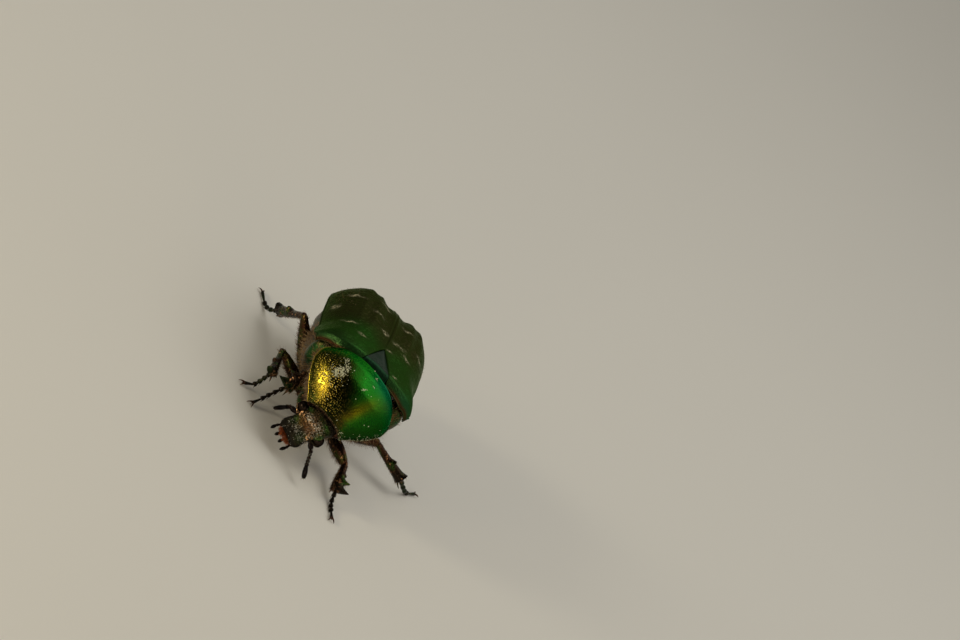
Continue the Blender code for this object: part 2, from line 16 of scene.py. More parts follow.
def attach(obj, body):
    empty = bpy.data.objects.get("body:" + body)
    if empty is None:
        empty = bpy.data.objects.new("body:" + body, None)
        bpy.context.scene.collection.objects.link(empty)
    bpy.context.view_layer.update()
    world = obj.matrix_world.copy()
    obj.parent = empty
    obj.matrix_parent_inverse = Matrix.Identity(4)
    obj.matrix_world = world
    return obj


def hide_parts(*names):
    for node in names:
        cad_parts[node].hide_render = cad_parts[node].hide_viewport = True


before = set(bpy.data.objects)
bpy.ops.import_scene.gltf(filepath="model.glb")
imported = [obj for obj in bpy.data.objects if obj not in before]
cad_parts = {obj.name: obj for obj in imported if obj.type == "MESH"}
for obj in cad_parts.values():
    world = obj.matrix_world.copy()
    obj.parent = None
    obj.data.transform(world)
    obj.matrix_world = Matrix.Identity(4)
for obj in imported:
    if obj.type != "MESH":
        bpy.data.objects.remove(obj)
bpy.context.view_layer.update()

MM = 0.001
SIDES = {"left": 1, "right": -1}

# Places of the body's frames, as in the solids
CENTRE_SHIFT = (-1.48, -2.9, 0.0)
TRUNK_LIFT = 8.3
PRONOTUM_TURN = (28.0, -7.8, 2.7)
PRONOTUM_PIVOT = (0.0, 0.0, -1.3)
PRONOTUM_SHIFT = (0.1, -0.14, 0.0)
PRONOTUM_LENGTH = 4.9
HEAD_TURN = (55.0, -24.9, -8.0)
HEAD_ORIGIN = (-0.81, -4.0, -4.57)
CLYPEUS_FRONT = -2.56
EYE_CENTRE = (1.4, -0.55, -0.35)
EYE_RADII = (0.42, 0.47, 0.5)
EYE_DROP = {"left": 0.16, "right": 0.02}
ELYTRON_LENGTH = 12.15
SCUTELLUM_LENGTH = 2.6
SCUTELLUM_HALF_WIDTH = 1.12

# The photograph's camera, over the floor: millimetres from the scutellum's base
CAMERA_PLACE = (-60.48, -264.26, 137.06)
CAMERA_RIGHT = (0.7091, 0.1455, 0.6900)
CAMERA_UP = (-0.6726, 0.4333, 0.5999)
CAMERA_BACK = (-0.2117, -0.8894, 0.4051)
CAMERA_LENS = 152.87


# Frames


def turned(pitch, yaw, roll):
    turn = Matrix.Rotation(math.radians(pitch), 4, "X")
    turn = turn @ Matrix.Rotation(math.radians(yaw), 4, "Z")
    return turn @ Matrix.Rotation(math.radians(roll), 4, "Y")


def shifted(offset):
    return Matrix.Translation(Vector(offset))


FLOOR = shifted(CENTRE_SHIFT)
TRUNK = FLOOR @ shifted((0, 0, TRUNK_LIFT))
PROTHORAX = (
    TRUNK
    @ shifted(PRONOTUM_SHIFT)
    @ shifted(PRONOTUM_PIVOT)
    @ turned(*PRONOTUM_TURN)
    @ shifted([-c for c in PRONOTUM_PIVOT])
)
HEAD = TRUNK @ shifted(HEAD_ORIGIN) @ turned(*HEAD_TURN)


def place(points, where):
    """Points of one of the frames, in millimetres, as points of the model, in metres."""
    turn = np.array(where)
    return (np.asarray(points, float) @ turn[:3, :3].T + turn[:3, 3]) * MM


# Sums on arrays


def unit(vectors):
    return vectors / np.maximum(np.linalg.norm(vectors, axis=-1, keepdims=True), 1e-12)


def ease(x, start, stop):
    """0 before start, 1 after stop, and smooth between them."""
    t = np.clip((x - start) / (stop - start), 0, 1)
    return t * t * (3 - 2 * t)


def ridge(x, centre, width):
    return np.exp(-(((x - centre) / width) ** 2))


def blob(x, y, centre, radii):
    return np.exp(-(((x - centre[0]) / radii[0]) ** 2) - ((y - centre[1]) / radii[1]) ** 2)


def curve(*keys):
    """A smooth function through (place, value) keys, with no overshoot between them."""
    at, value = (np.array(column, float) for column in zip(*keys))
    step = np.diff(value) / np.diff(at)
    middle = np.where(step[:-1] * step[1:] > 0, (step[:-1] + step[1:]) / 2, 0.0)
    slope = np.concatenate([[step[0]], middle, [step[-1]]])

    def sample(x):
        x = np.clip(x, at[0], at[-1])
        i = np.clip(np.searchsorted(at, x, side="right") - 1, 0, len(at) - 2)
        width = at[i + 1] - at[i]
        t = (x - at[i]) / width
        rise = value[i] * (1 + 2 * t) * (1 - t) ** 2 + value[i + 1] * t * t * (3 - 2 * t)
        return rise + width * (slope[i] * t * (1 - t) ** 2 + slope[i + 1] * t * t * (t - 1))

    return sample


def smooth_path(stops, count):
    """Points along a smooth line through stops."""
    stops = np.array(stops, float)
    spans = np.linalg.norm(np.diff(stops, axis=0), axis=1)
    shares = np.concatenate([[0], np.cumsum(spans)]) / spans.sum()
    at = np.linspace(0, 1, count)
    return np.stack([curve(*zip(shares, column))(at) for column in stops.T], -1)


def even(section, count):
    """Places along a line of points, spaced evenly by its length."""
    fine = np.linspace(0, 1, 800)
    steps = np.linalg.norm(np.diff(section(fine), axis=0), axis=1)
    run = np.concatenate([[0], np.cumsum(steps)])
    return np.interp(np.linspace(0, run[-1], count), run, fine)


def even_grid(surface, row, column, columns, rows):
    """A surface's points, spaced evenly as along its given row and column."""
    across = even(lambda u: surface(u, np.full_like(u, row)), columns)
    ahead = even(lambda v: surface(np.full_like(v, column), v), rows)
    return surface(*np.meshgrid(across, ahead))


def turns(count):
    """Angles spread evenly round a circle."""
    return np.arange(count) * 2 * math.pi / count


def lengths(grid):
    """How far each point of a grid lies along its row, and along its column."""
    across, ahead = (np.linalg.norm(np.diff(grid, axis=axis), axis=-1) for axis in (1, 0))
    return np.pad(np.cumsum(across, 1), [(0, 0), (1, 0)]), np.pad(np.cumsum(ahead, 0), [(1, 0), (0, 0)])


def normals(grid, wrap=False):
    """Unit normals of a grid of points. With wrap, its last column meets its first."""
    if wrap:
        across = np.roll(grid, -1, 1) - np.roll(grid, 1, 1)
    else:
        across = np.gradient(grid, axis=1)
    return unit(np.cross(across, np.gradient(grid, axis=0)))


def outward(grid, axis=None):
    """Normals that face along an axis on an open grid, or away from the middle of closed rings."""
    if axis is None:
        normal = normals(grid, wrap=True)
        return normal * np.sign(np.sum(normal * (grid - grid.mean(1, keepdims=True))))
    normal = normals(grid)
    return normal * np.sign(normal[..., axis].mean())


def waves(points, length, seed):
    """Soft unevenness between -1 and 1, about a wavelength apart."""
    rng = np.random.default_rng(seed)
    total = np.zeros(points.shape[:-1])
    for _ in range(7):
        way = unit(rng.normal(size=3)) * 2 * math.pi / (length * rng.uniform(0.7, 1.5))
        total += np.sin(points @ way + rng.uniform(0, 2 * math.pi))
    return total / 4


def pits(a, b, spacing, radius, seed, share=1.0, horseshoe=False):
    """Depths, up to 1, of pits with low lips, scattered over a surface whose lengths are a and b.

    A horseshoe is a pit that is cut on its rear half only.
    """
    rng = np.random.default_rng(seed)
    size = 211
    table = rng.random((size, size, 4))
    p, q = a / spacing, b / spacing
    row, column = np.floor(p).astype(int), np.floor(q).astype(int)
    depth, lip = np.zeros(p.shape), np.zeros(p.shape)
    for i in (-1, 0, 1):
        for j in (-1, 0, 1):
            draw = table[(row + i) % size, (column + j) % size]
            dp = (p - row - i - 0.15 - 0.7 * draw[..., 0]) * spacing
            dq = (q - column - j - 0.15 - 0.7 * draw[..., 1]) * spacing
            away = np.hypot(dp, dq) / (radius * (0.75 + 0.5 * draw[..., 2]))
            there = draw[..., 3] < share
            if horseshoe:
                bowl = ridge(away, 0.8, 0.28) * ease(dq / radius, -0.5, 0.35)
            else:
                bowl = np.clip(1 - away**2, 0, 1)
            depth = np.maximum(depth, bowl * there)
            lip = np.maximum(lip, ridge(away, 1.2, 0.22) * there)
    return depth - 0.10 * lip * (depth < 0.05)


# Meshes


def quads(rows, columns, wrap=False):
    """Faces of a grid of points."""
    last = columns if wrap else columns - 1
    start = np.arange(rows - 1)[:, None] * columns
    a = start + np.arange(last)
    b = start + (np.arange(last) + 1) % columns
    return np.stack([a, b, b + columns, a + columns], -1).reshape(-1, 4)


def border(index):
    """The points round the edge of a grid, in order."""
    return np.concatenate([index[0, :-1], index[:-1, -1], index[-1, :0:-1], index[:0:-1, 0]])


def volume(points, faces):
    total = 0.0
    for each in faces:
        for k in range(2, each.shape[1]):
            a, b, c = points[each[:, 0]], points[each[:, k - 1]], points[each[:, k]]
            total += np.einsum("ij,ij->", a, np.cross(b, c))
    return total


class Piece:
    """Closed surfaces, with their masks, gathered into one object."""

    def __init__(self, name, *masks):
        self.name, self.points, self.faces = name, [], []
        self.masks = {mask: [] for mask in masks}
        self.count = 0

    def add(self, points, faces, where, masks):
        """One closed surface, turned to face outwards and kept above the floor.

        A mask that it doesn't name is 0.
        """
        points = place(points, where)
        points[:, 2] = np.maximum(points[:, 2], 0.0)
        if volume(points - points.mean(0), faces) < 0:
            faces = [each[:, ::-1] for each in faces]
        self.points.append(points)
        self.faces += [each + self.count for each in faces]
        for mask, parts in self.masks.items():
            parts.append(np.broadcast_to(masks.get(mask, 0.0), len(points)))
        self.count += len(points)

    def add_loft(self, rings, where, **masks):
        """A surface through rings of points, an array of rows, with a fan over each end.

        A mask is one number, or a value for each point of the rings.
        """
        rows, columns = rings.shape[:2]
        points = np.concatenate([rings.reshape(-1, 3), rings[[0, -1]].mean(1)])
        around = np.arange(columns)
        ahead = (around + 1) % columns
        first = np.stack([ahead, around, np.full(columns, rows * columns)], -1)
        end = (rows - 1) * columns
        last = np.stack([around + end, ahead + end, np.full(columns, rows * columns + 1)], -1)
        flat = {}
        for mask, values in masks.items():
            values = np.broadcast_to(values, (rows, columns))
            flat[mask] = np.concatenate([values.ravel(), values[[0, -1]].mean(1)])
        self.add(points, [quads(rows, columns, wrap=True), first, last], where, flat)

    def add_plate(self, top, under, where, bulge=0.7, **masks):
        """A plate between two like grids of points. A mask has a value for each point of the top."""
        points, faces, home = plate(top, under, bulge)
        flat = {mask: np.clip(values, 0, 1).ravel()[home] for mask, values in masks.items()}
        self.add(points, faces, where, flat)

    def make(self, material, slot=None, nodes=()):
        """The piece's object, on its body, in place of the solids that it stands for."""
        mesh = bpy.data.meshes.new(self.name)
        points = np.concatenate(self.points)
        mesh.vertices.add(len(points))
        mesh.vertices.foreach_set("co", points.ravel())
        loops = np.concatenate([each.ravel() for each in self.faces])
        sizes = np.concatenate([np.full(len(each), each.shape[1]) for each in self.faces])
        mesh.loops.add(len(loops))
        mesh.loops.foreach_set("vertex_index", loops.astype(np.int32))
        mesh.polygons.add(len(sizes))
        starts = np.concatenate([[0], np.cumsum(sizes)[:-1]])
        mesh.polygons.foreach_set("loop_start", starts.astype(np.int32))
        mesh.update(calc_edges=True)
        mesh.validate()
        mesh.shade_smooth()
        for mask, parts in self.masks.items():
            values = np.concatenate(parts).astype(np.float32)
            mesh.attributes.new(mask, "FLOAT", "POINT").data.foreach_set("value", values)
        mesh.materials.append(material)
        obj = bpy.data.objects.new(self.name, mesh)
        bpy.context.scene.collection.objects.link(obj)
        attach(obj, "root")
        if nodes:
            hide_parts(*nodes)
        return obj


RIM_STEPS = 4
UNDER_SKIP = 4


def plate(top, under, bulge):
    """A closed plate between two like grids of points, with a rounded rim.

    The under side keeps one row and column in UNDER_SKIP. It gives the points, the faces, and for
    each point the place in the top grid that it belongs to.
    """
    rows, columns = top.shape[:2]
    index = np.arange(rows * columns).reshape(rows, columns)
    rim = border(index)
    i, j = np.divmod(rim, columns)
    inner = np.clip(i, 1, rows - 2) * columns + np.clip(j, 1, columns - 2)
    upper, lower = top.reshape(-1, 3), under.reshape(-1, 3)
    middle = (upper[rim] + lower[rim]) / 2
    half = upper[rim] - middle
    away = unit(middle - (upper[inner] + lower[inner]) / 2)
    away = away * np.linalg.norm(half, axis=1, keepdims=True) * bulge
    belts, points = [rim], [upper]
    for k in range(1, RIM_STEPS):
        angle = math.pi * k / RIM_STEPS
        belts.append(index.size + (k - 1) * len(rim) + np.arange(len(rim)))
        points.append(middle + half * math.cos(angle) + away * math.sin(angle))
    faces = [quads(rows, columns)]
    for belt, following in zip(belts, belts[1:]):
        faces.append(np.stack([np.roll(belt, -1), belt, following, np.roll(following, -1)], -1))
    coarse = index[::UNDER_SKIP, ::UNDER_SKIP]
    start = index.size + (RIM_STEPS - 1) * len(rim)
    points.append(lower[coarse.ravel()])
    near = border(start + np.arange(coarse.size).reshape(coarse.shape))
    stretch = np.arange(len(near))[:, None] * UNDER_SKIP + np.arange(UNDER_SKIP, -1, -1)
    fine = belts[-1][stretch % len(rim)]
    faces.append(np.concatenate([fine, near[:, None], np.roll(near, -1)[:, None]], 1))
    faces.append(quads(*coarse.shape)[:, ::-1] + start)
    home = np.concatenate([index.ravel(), np.tile(rim, RIM_STEPS - 1), coarse.ravel()])
    return np.concatenate(points), faces, home


def sweep(path, out, outer, inner, height, sides):
    """Rings round a path: outer and inner are its half widths along out and against it."""
    along = unit(np.gradient(path, axis=0))
    out = np.array(out, float)
    out = unit(out - along * np.sum(out * along, -1, keepdims=True))
    up = np.cross(along, out)
    c, s = np.cos(turns(sides)), np.sin(turns(sides))
    wide = np.where(c > 0, np.outer(outer, c), np.outer(inner, c))
    tall = np.outer(height, s)
    return path[:, None] + wide[..., None] * out[:, None] + tall[..., None] * up[:, None]


def round_ends(t, first, last):
    """A factor that rounds off a limb's ends over the given shares of its length."""
    head = np.sqrt(np.clip(1 - (1 - np.clip(t / first, 0, 1)) ** 2, 0, 1))
    tail = np.sqrt(np.clip(1 - (1 - np.clip((1 - t) / last, 0, 1)) ** 2, 0, 1))
    return np.maximum(np.minimum(head, tail), 0.02)


def crowded(count):
    """Shares of a length from 0 to 1, closer together at both ends."""
    return (1 - np.cos(np.linspace(0, math.pi, count))) / 2


def tapered(path, radius, sides):
    """Rings of a spine, spur or claw along a path, thickest at its root."""
    t = np.linspace(0, 1, len(path))
    thick = radius * (1 - t) ** 0.65 + radius * 0.04
    return sweep(path, (0.3, 0.2, 1.0), thick, thick, thick, sides)


def hook(root, ahead, down, length, bend, count):
    """A path that leaves a root ahead and bends down."""
    t = np.linspace(0, 1, count)[:, None]
    ahead, down = unit(np.array(ahead, float)), unit(np.array(down, float))
    return np.array(root, float) + length * (ahead * t * (1 - 0.35 * bend * t) + down * bend * t**2)


def ball(centre, radii, columns, rows):
    """Rings of an ellipsoid, from its lowest point to its highest."""
    polar = crowded(rows) * math.pi
    ring = np.stack([np.cos(turns(columns)), np.sin(turns(columns)), np.zeros(columns)], -1)
    rings = np.sin(polar)[:, None, None] * ring
    rings[..., 2] = -np.cos(polar)[:, None]
    return np.array(centre) + rings * np.array(radii)


def joint(piece, start, stop, radii, where, hint=(0, 0, 1), flat=1.0, sides=16, rows=14, **masks):
    """A limb's joint: a rod with round ends whose radius runs through radii."""
    t = crowded(rows)
    start, stop = np.array(start, float), np.array(stop, float)
    path = start + (stop - start) * t[:, None]
    thick = curve(*zip(np.linspace(0, 1, len(radii)), radii))(t) * round_ends(t, 0.18, 0.14)
    piece.add_loft(sweep(path, hint, thick, thick, thick * flat, sides), where, **masks)


# Hair


def scatter(grid, count, rng, weight, inside):
    """Random roots on a grid of points, with their normals and their places in the grid.

    An open grid names a point behind it as inside. Any other is closed round its rows.
    """
    if inside is None:
        inside = np.concatenate([grid, grid[:, :1]], 1).reshape(-1, 3).mean(0)
        grid = np.concatenate([grid, grid[:, :1]], 1)
        weight = None if weight is None else np.concatenate([weight, weight[:, :1]], 1)
    a, b, c = grid[:-1, :-1], grid[:-1, 1:], grid[1:, :-1]
    area = np.linalg.norm(np.cross(b - a, c - a), axis=-1)
    if weight is not None:
        area = area * weight[:-1, :-1]
    chance = (area / area.sum()).ravel()
    i, j = np.divmod(rng.choice(len(chance), count, p=chance), grid.shape[1] - 1)
    fu, fv = rng.random((2, count))
    d = grid[1:, 1:][i, j]
    a, b, c = a[i, j], b[i, j], c[i, j]
    low = a + (b - a) * fu[:, None]
    high = c + (d - c) * fu[:, None]
    roots = low + (high - low) * fv[:, None]
    normal = unit(np.cross(b - a, c - a))
    normal *= np.sign(np.sum(normal * (roots - np.array(inside)), -1, keepdims=True))
    uv = np.stack([(j + fu) / (grid.shape[1] - 1), (i + fv) / (grid.shape[0] - 1)], -1)
    return roots, normal, uv


class Coat:
    """Tapered hairs as solid mesh, each with a small patch of the unwrap at its root's place."""

    SIDES, STEPS, PATCH = 3, 3, 0.003

    def __init__(self, name, rng, tiles):
        self.piece, self.rng, self.uv, self.tiles = Piece(name, "shade"), rng, [], tiles

    def grow(
        self, grid, count, length, radius, where, lie, lift, droop, spread=0.16, weight=None, inside=None
    ):
        """Hairs of about a length, scattered on a grid. They leave between the lie and the normal."""
        rng = self.rng
        roots, normal, uv = scatter(grid, count, rng, weight, inside)
        lie = unit(np.broadcast_to(np.array(lie, float), roots.shape))
        lie = unit(lie - normal * np.sum(lie * normal, -1, keepdims=True) * 0.8)
        start = unit(lie * (1 - lift) + normal * lift + rng.normal(0, spread, (count, 3)))
        end = unit(start * (1 - droop) + lie * droop + rng.normal(0, spread / 2, (count, 3)))
        long = length * rng.uniform(0.65, 1.2, count)[:, None, None]
        t = np.linspace(0, 1, self.STEPS + 1)[None, :, None]
        spine = roots[:, None] - normal[:, None] * 0.03
        spine = spine + long * (start[:, None] * t * (1 - t / 2) + end[:, None] * t * t / 2)
        side = unit(np.cross(start, rng.normal(size=(count, 3))))[:, None, None]
        up = np.cross(start[:, None, None], side)
        angle = turns(self.SIDES)[None, None, :, None]
        thick = radius * (1 - 0.88 * t[..., None]) * rng.uniform(0.8, 1.2, (count, 1, 1, 1))
        rings = spine[:, :, None] + thick * (side * np.cos(angle) + up * np.sin(angle))
        each = (self.STEPS + 1) * self.SIDES
        starts = np.arange(count)[:, None, None] * each
        walls = (starts + quads(self.STEPS + 1, self.SIDES, wrap=True)[None]).reshape(-1, 4)
        foot = starts[:, :, 0] + np.arange(self.SIDES)[::-1]
        tip = starts[:, :, 0] + np.arange(self.SIDES) + each - self.SIDES
        shade = np.repeat(rng.random(count), each)
        self.piece.add(rings.reshape(-1, 3), [walls, foot, tip], where, {"shade": shade})
        tile = len(self.uv) % self.tiles**2
        corner = np.array([tile % self.tiles, tile // self.tiles]) + 0.04
        home = (corner + 0.92 * uv)[:, None, None] / self.tiles
        k = np.linspace(-0.5, 0.5, self.SIDES)
        s = np.linspace(-0.5, 0.5, self.STEPS + 1)
        patch = np.stack(np.broadcast_arrays(k[None, :], s[:, None]), -1) * self.PATCH
        self.uv.append((home + patch[None]).reshape(-1, 2))

    def make(self, material):
        obj = self.piece.make(material)
        uv = np.concatenate(self.uv)
        loops = np.empty(len(obj.data.loops), np.int32)
        obj.data.loops.foreach_get("vertex_index", loops)
        layer = obj.data.uv_layers.new(name="OFBake")
        layer.data.foreach_set("uv", uv[loops].astype(np.float32).ravel())


# Materials


class Look:
    """A Principled material and the nodes that feed it, in metres of the model's frame."""

    def __init__(self, name, sockets):
        self.material = bpy.data.materials.new(name)
        self.material.use_nodes = True
        self.tree = self.material.node_tree
        self.shader = self.tree.nodes["Principled BSDF"]
        self.spot = self.node("TexCoord").outputs["Object"]
        self.set(self.shader, sockets)

    def set(self, node, values):
        for key, value in values.items():
            if isinstance(value, bpy.types.NodeSocket):
                self.tree.links.new(value, node.inputs[key])
            else:
                node.inputs[key].default_value = value

    def node(self, kind, inputs=None, **settings):
        made = self.tree.nodes.new("ShaderNode" + kind)
        for key, value in settings.items():
            setattr(made, key, value)
        self.set(made, inputs or {})
        return made

    def mask(self, name):
        return self.node("Attribute", attribute_name=name).outputs["Fac"]

    def noise(self, size, detail=3.0):
        """Cloudy noise with lumps of a size in millimetres."""
        inputs = {"Vector": self.spot, "Scale": 1 / (size * MM), "Detail": detail, "Roughness": 0.55}
        return self.node("TexNoise", inputs).outputs["Fac"]

    def cells(self, size):
        inputs = {"Vector": self.spot, "Scale": 1 / (size * MM)}
        return self.node("TexVoronoi", inputs).outputs["Distance"]

    def fit(self, value, low, high, to_low=0.0, to_high=1.0):
        inputs = {0: value, 1: low, 2: high, 3: to_low, 4: to_high}
        return self.node("MapRange", inputs).outputs[0]

    def clouds(self, size, low=0.3, high=0.7, to_low=0.0, to_high=1.0, detail=3.0):
        return self.fit(self.noise(size, detail), low, high, to_low, to_high)

    def broken(self, mask, size, low, high, detail=5.0):
        """A mask, broken up into specks of a size in millimetres."""
        factors = {0: self.mask(mask), 1: self.clouds(size, low, high, detail=detail)}
        return self.node("Math", factors, operation="MULTIPLY").outputs[0]

    def raised(self, value, mask, amount):
        """A value that rises by an amount where a mask is 1."""
        terms = {0: value, 1: self.fit(mask, 0.0, 1.0, 0.0, amount)}
        return self.node("Math", terms, operation="ADD").outputs[0]

    def mix(self, factor, a, b):
        """Colour a turning to colour b by a factor."""
        made = self.node("Mix", data_type="RGBA")
        for index, value in ((0, factor), (6, a), (7, b)):
            if isinstance(value, tuple):
                value = (*value, 1.0)
            self.set(made, {index: value})
        return made.outputs[2]

    def tinted(self, colour, **tints):
        """A colour that turns to each tint where the mask of that name says so."""
        for mask, tint in tints.items():
            colour = self.mix(self.mask(mask), colour, tint)
        return colour

    def bump(self, height, depth, before=None):
        """Relief of a depth in millimetres."""
        inputs = {"Height": height, "Distance": depth * MM, "Strength": 1.0}
        if before is not None:
            inputs["Normal"] = before
        return self.node("Bump", inputs).outputs["Normal"]

    def grain(self, cell, cell_depth, lump, lump_depth, full=0.5):
        """Fine cells with lumps on them: sizes and depths in millimetres."""
        normal = self.bump(self.fit(self.cells(cell), 0.0, full), cell_depth)
        return self.bump(self.noise(lump), lump_depth, normal)

    def finish(self, colour, **sockets):
        self.set(self.shader, {"Base Color": colour, **sockets})
        return self.material


GREEN = (0.009, 0.125, 0.009)
BRIGHT_GREEN = (0.012, 0.135, 0.008)
# Painted highlight: the golden glare on the pronotum
GLARE_GOLD = (0.60, 0.44, 0.03)
AMBER = (0.165, 0.13, 0.004)
TEAL = (0.008, 0.110, 0.058)
# Painted shade: the dark colour of the pronotum's middle and lower side
SHADE_OLIVE = (0.013, 0.014, 0.003)
# Painted highlight: golden glints in the pronotum's pits
GLINT_GOLD = (0.98, 0.66, 0.12)
DEEP_GREEN = (0.020, 0.046, 0.009)
WING_GREEN = (0.020, 0.080, 0.011)
BROWN_BLACK = (0.036, 0.030, 0.011)
RUST = (0.060, 0.014, 0.006)
SLATE = (0.010, 0.034, 0.015)
LIGHT_SLATE = (0.014, 0.046, 0.022)
BLACK = (0.016, 0.013, 0.012)
EYE_BLACK = (0.016, 0.012, 0.010)
EYE_BROWN = (0.026, 0.016, 0.010)
HEAD_BLACK = (0.013, 0.010, 0.003)
HEAD_BRONZE = (0.042, 0.026, 0.007)
HEAD_GREEN = (0.030, 0.110, 0.012)
# Painted highlight: the coppery glints on the head
HEAD_GLINT = (1.0, 0.56, 0.26)
SCALES = (0.92, 0.87, 0.70)
PALE = (0.42, 0.37, 0.23)
POLLEN = (0.50, 0.51, 0.34)
DUST = (0.62, 0.62, 0.44)
FLOOR_COLOURS = (0.82, 0.80, 0.75), (0.85, 0.83, 0.78)
DARK_TINT = (0.3, 0.3, 0.3, 1.0)

# Bronze chitin: base, painted glint and green, then metallic and roughness
BRONZES = {
    "bronze_body": ((0.040, 0.026, 0.010), (0.15, 0.085, 0.035), (0.022, 0.045, 0.010), 0.85, 0.3),
    "bronze_legs": ((0.020, 0.013, 0.006), (0.75, 0.36, 0.17), (0.03, 0.11, 0.014), 0.9, 0.22),
    "green_sides": ((0.012, 0.060, 0.009), (0.10, 0.08, 0.010), (0.12, 0.04, 0.015), 0.85, 0.3),
    "mouth_orange": ((0.040, 0.009, 0.003), (0.12, 0.03, 0.008), (0.030, 0.012, 0.005), 0.0, 0.5),
}
# Hair, from the darkest to the palest of each kind
HAIRS = {
    "pale": ((0.13, 0.065, 0.022), (0.38, 0.25, 0.11)),
    "white": ((0.60, 0.54, 0.40), (0.95, 0.92, 0.80)),
    "orange": ((0.03, 0.004, 0.001), (0.50, 0.105, 0.010)),
    "brown": ((0.08, 0.03, 0.010), (0.32, 0.17, 0.07)),
    "dark": ((0.02, 0.012, 0.008), (0.10, 0.05, 0.03)),
}


def pronotum_look():
    look = Look("pronotum_green", {"Metallic": 1.0, "Specular Tint": (0.3, 0.85, 0.5, 1.0)})
    colour = look.mix(look.clouds(1.6, 0.35), GREEN, BRIGHT_GREEN)
    # Painted golden highlight of the glare, painted golden glints in the pits and painted shade on the dark
    # middle lie over the green
    colour = look.tinted(colour, amber=AMBER, teal=TEAL, olive=SHADE_OLIVE, gold=GLARE_GOLD, dots=GLINT_GOLD)
    rough = look.raised(look.clouds(0.5, to_low=0.18, to_high=0.25), look.mask("dots"), 0.2)
    return look.finish(colour, Roughness=rough, Normal=look.grain(0.09, 0.002, 0.05, 0.002, 0.45))


def elytra_look():
    look = Look("elytra_green", {"Specular Tint": (0.5, 0.62, 0.4, 1.0)})
    colour = look.mix(look.clouds(2.2, 0.35), DEEP_GREEN, WING_GREEN)
    colour = look.tinted(colour, brown=BROWN_BLACK, teal=TEAL, rust=RUST)
    pale = look.broken("pale", 0.16, 0.38, 0.56)
    colour = look.mix(pale, colour, PALE)
    rough = look.raised(look.clouds(0.7, to_low=0.30, to_high=0.42), pale, 0.4)
    normal = look.grain(0.13, 0.008, 0.06, 0.003)
    return look.finish(colour, Metallic=look.fit(pale, 0.0, 1.0, 0.92, 0.05), Roughness=rough, Normal=normal)


def slate_look():
    look = Look("scutellum_slate", {"Metallic": 1.0})
    colour = look.mix(look.clouds(0.8), SLATE, LIGHT_SLATE)
    rough = look.clouds(0.4, to_low=0.3, to_high=0.4)
    return look.finish(colour, Roughness=rough, Normal=look.bump(look.noise(0.07), 0.004))


def bronze_look(name):
    """Dark chitin of the legs and underside, with painted coppery and green glints."""
    base, glint, green, metal, rough = BRONZES[name]
    look = Look(name, {})
    colour = look.mix(look.clouds(0.9, 0.48, 0.68), base, green)
    # Painted highlight: small bright specks of the glint colour
    colour = look.mix(look.clouds(0.30, 0.60, 0.72, detail=4.0), colour, glint)
    # The dark mask is painted shade at the prosternum's front socket, and a darker tone elsewhere
    colour = look.tinted(colour, dark=(0.012, 0.009, 0.006), warm=(0.085, 0.024, 0.008))
    pale = look.broken("pale", 0.1, 0.4, 0.56)
    colour = look.mix(pale, colour, PALE)
    rough = look.raised(look.clouds(0.3, to_low=rough - 0.06, to_high=rough + 0.1), pale, 0.4)
    metal = look.fit(pale, 0.0, 1.0, metal, 0.05)
    return look.finish(colour, Metallic=metal, Roughness=rough, Normal=look.grain(0.11, 0.010, 0.05, 0.004))


def head_look():
    """Near-black bronze with pale hair scales in its pits, painted coppery glints, painted shade and green
    patches.
    """
    look = Look("bronze_head", {})
    colour = look.mix(look.clouds(0.7, 0.4, 0.65), HEAD_BLACK, HEAD_BRONZE)
    colour = look.mix(look.broken("green", 0.25, 0.3, 0.5, 3.0), colour, HEAD_GREEN)
    colour = look.mix(look.broken("warm", 0.25, 0.3, 0.5, 3.0), colour, (0.13, 0.050, 0.012))
    # Painted shade behind the right eye, under the head and on the nape; the clypeus and its rim are darker
    # too
    colour = look.tinted(colour, dark=(0.014, 0.011, 0.006))
    # Painted coppery highlights where the glint mask says so
    colour = look.mix(look.broken("glint", 0.10, 0.50, 0.57, 4.0), colour, HEAD_GLINT)
    pale = look.broken("pale", 0.09, 0.42, 0.50)
    colour = look.mix(pale, colour, SCALES)
    rough = look.raised(look.clouds(0.3, to_low=0.24, to_high=0.36), pale, 0.4)
    normal = look.grain(0.10, 0.012, 0.05, 0.004)
    return look.finish(colour, Metallic=look.fit(pale, 0.0, 1.0, 0.85, 0.0), Roughness=rough, Normal=normal)


def black_look():
    look = Look("antenna_black", {"Metallic": 0.9, "Specular IOR Level": 0.2, "Specular Tint": DARK_TINT})
    colour = look.mix(look.mask("warm"), BLACK, (0.024, 0.013, 0.010))
    rough = look.clouds(0.2, to_low=0.16, to_high=0.26)
    return look.finish(colour, Roughness=rough, Normal=look.bump(look.noise(0.07), 0.008))


def eye_look():
    sockets = {"Roughness": 0.10, "Metallic": 0.9, "Specular IOR Level": 0.3, "Specular Tint": DARK_TINT}
    look = Look("eye_dark", sockets)
    colour = look.mix(look.clouds(0.4), EYE_BLACK, EYE_BROWN)
    return look.finish(colour, Normal=look.bump(look.cells(0.03), 0.0002))


def hair_look(kind):
    look = Look("hair_" + kind, {"Roughness": 0.55})
    return look.finish(look.mix(look.mask("shade"), *HAIRS[kind]))


def dust_look():
    look = Look("pollen_dust", {"Roughness": 0.8})
    return look.finish(look.mix(look.noise(0.08), POLLEN, DUST))


# Pronotum and prosternum, in the prothorax's frame: v runs from the base to the front

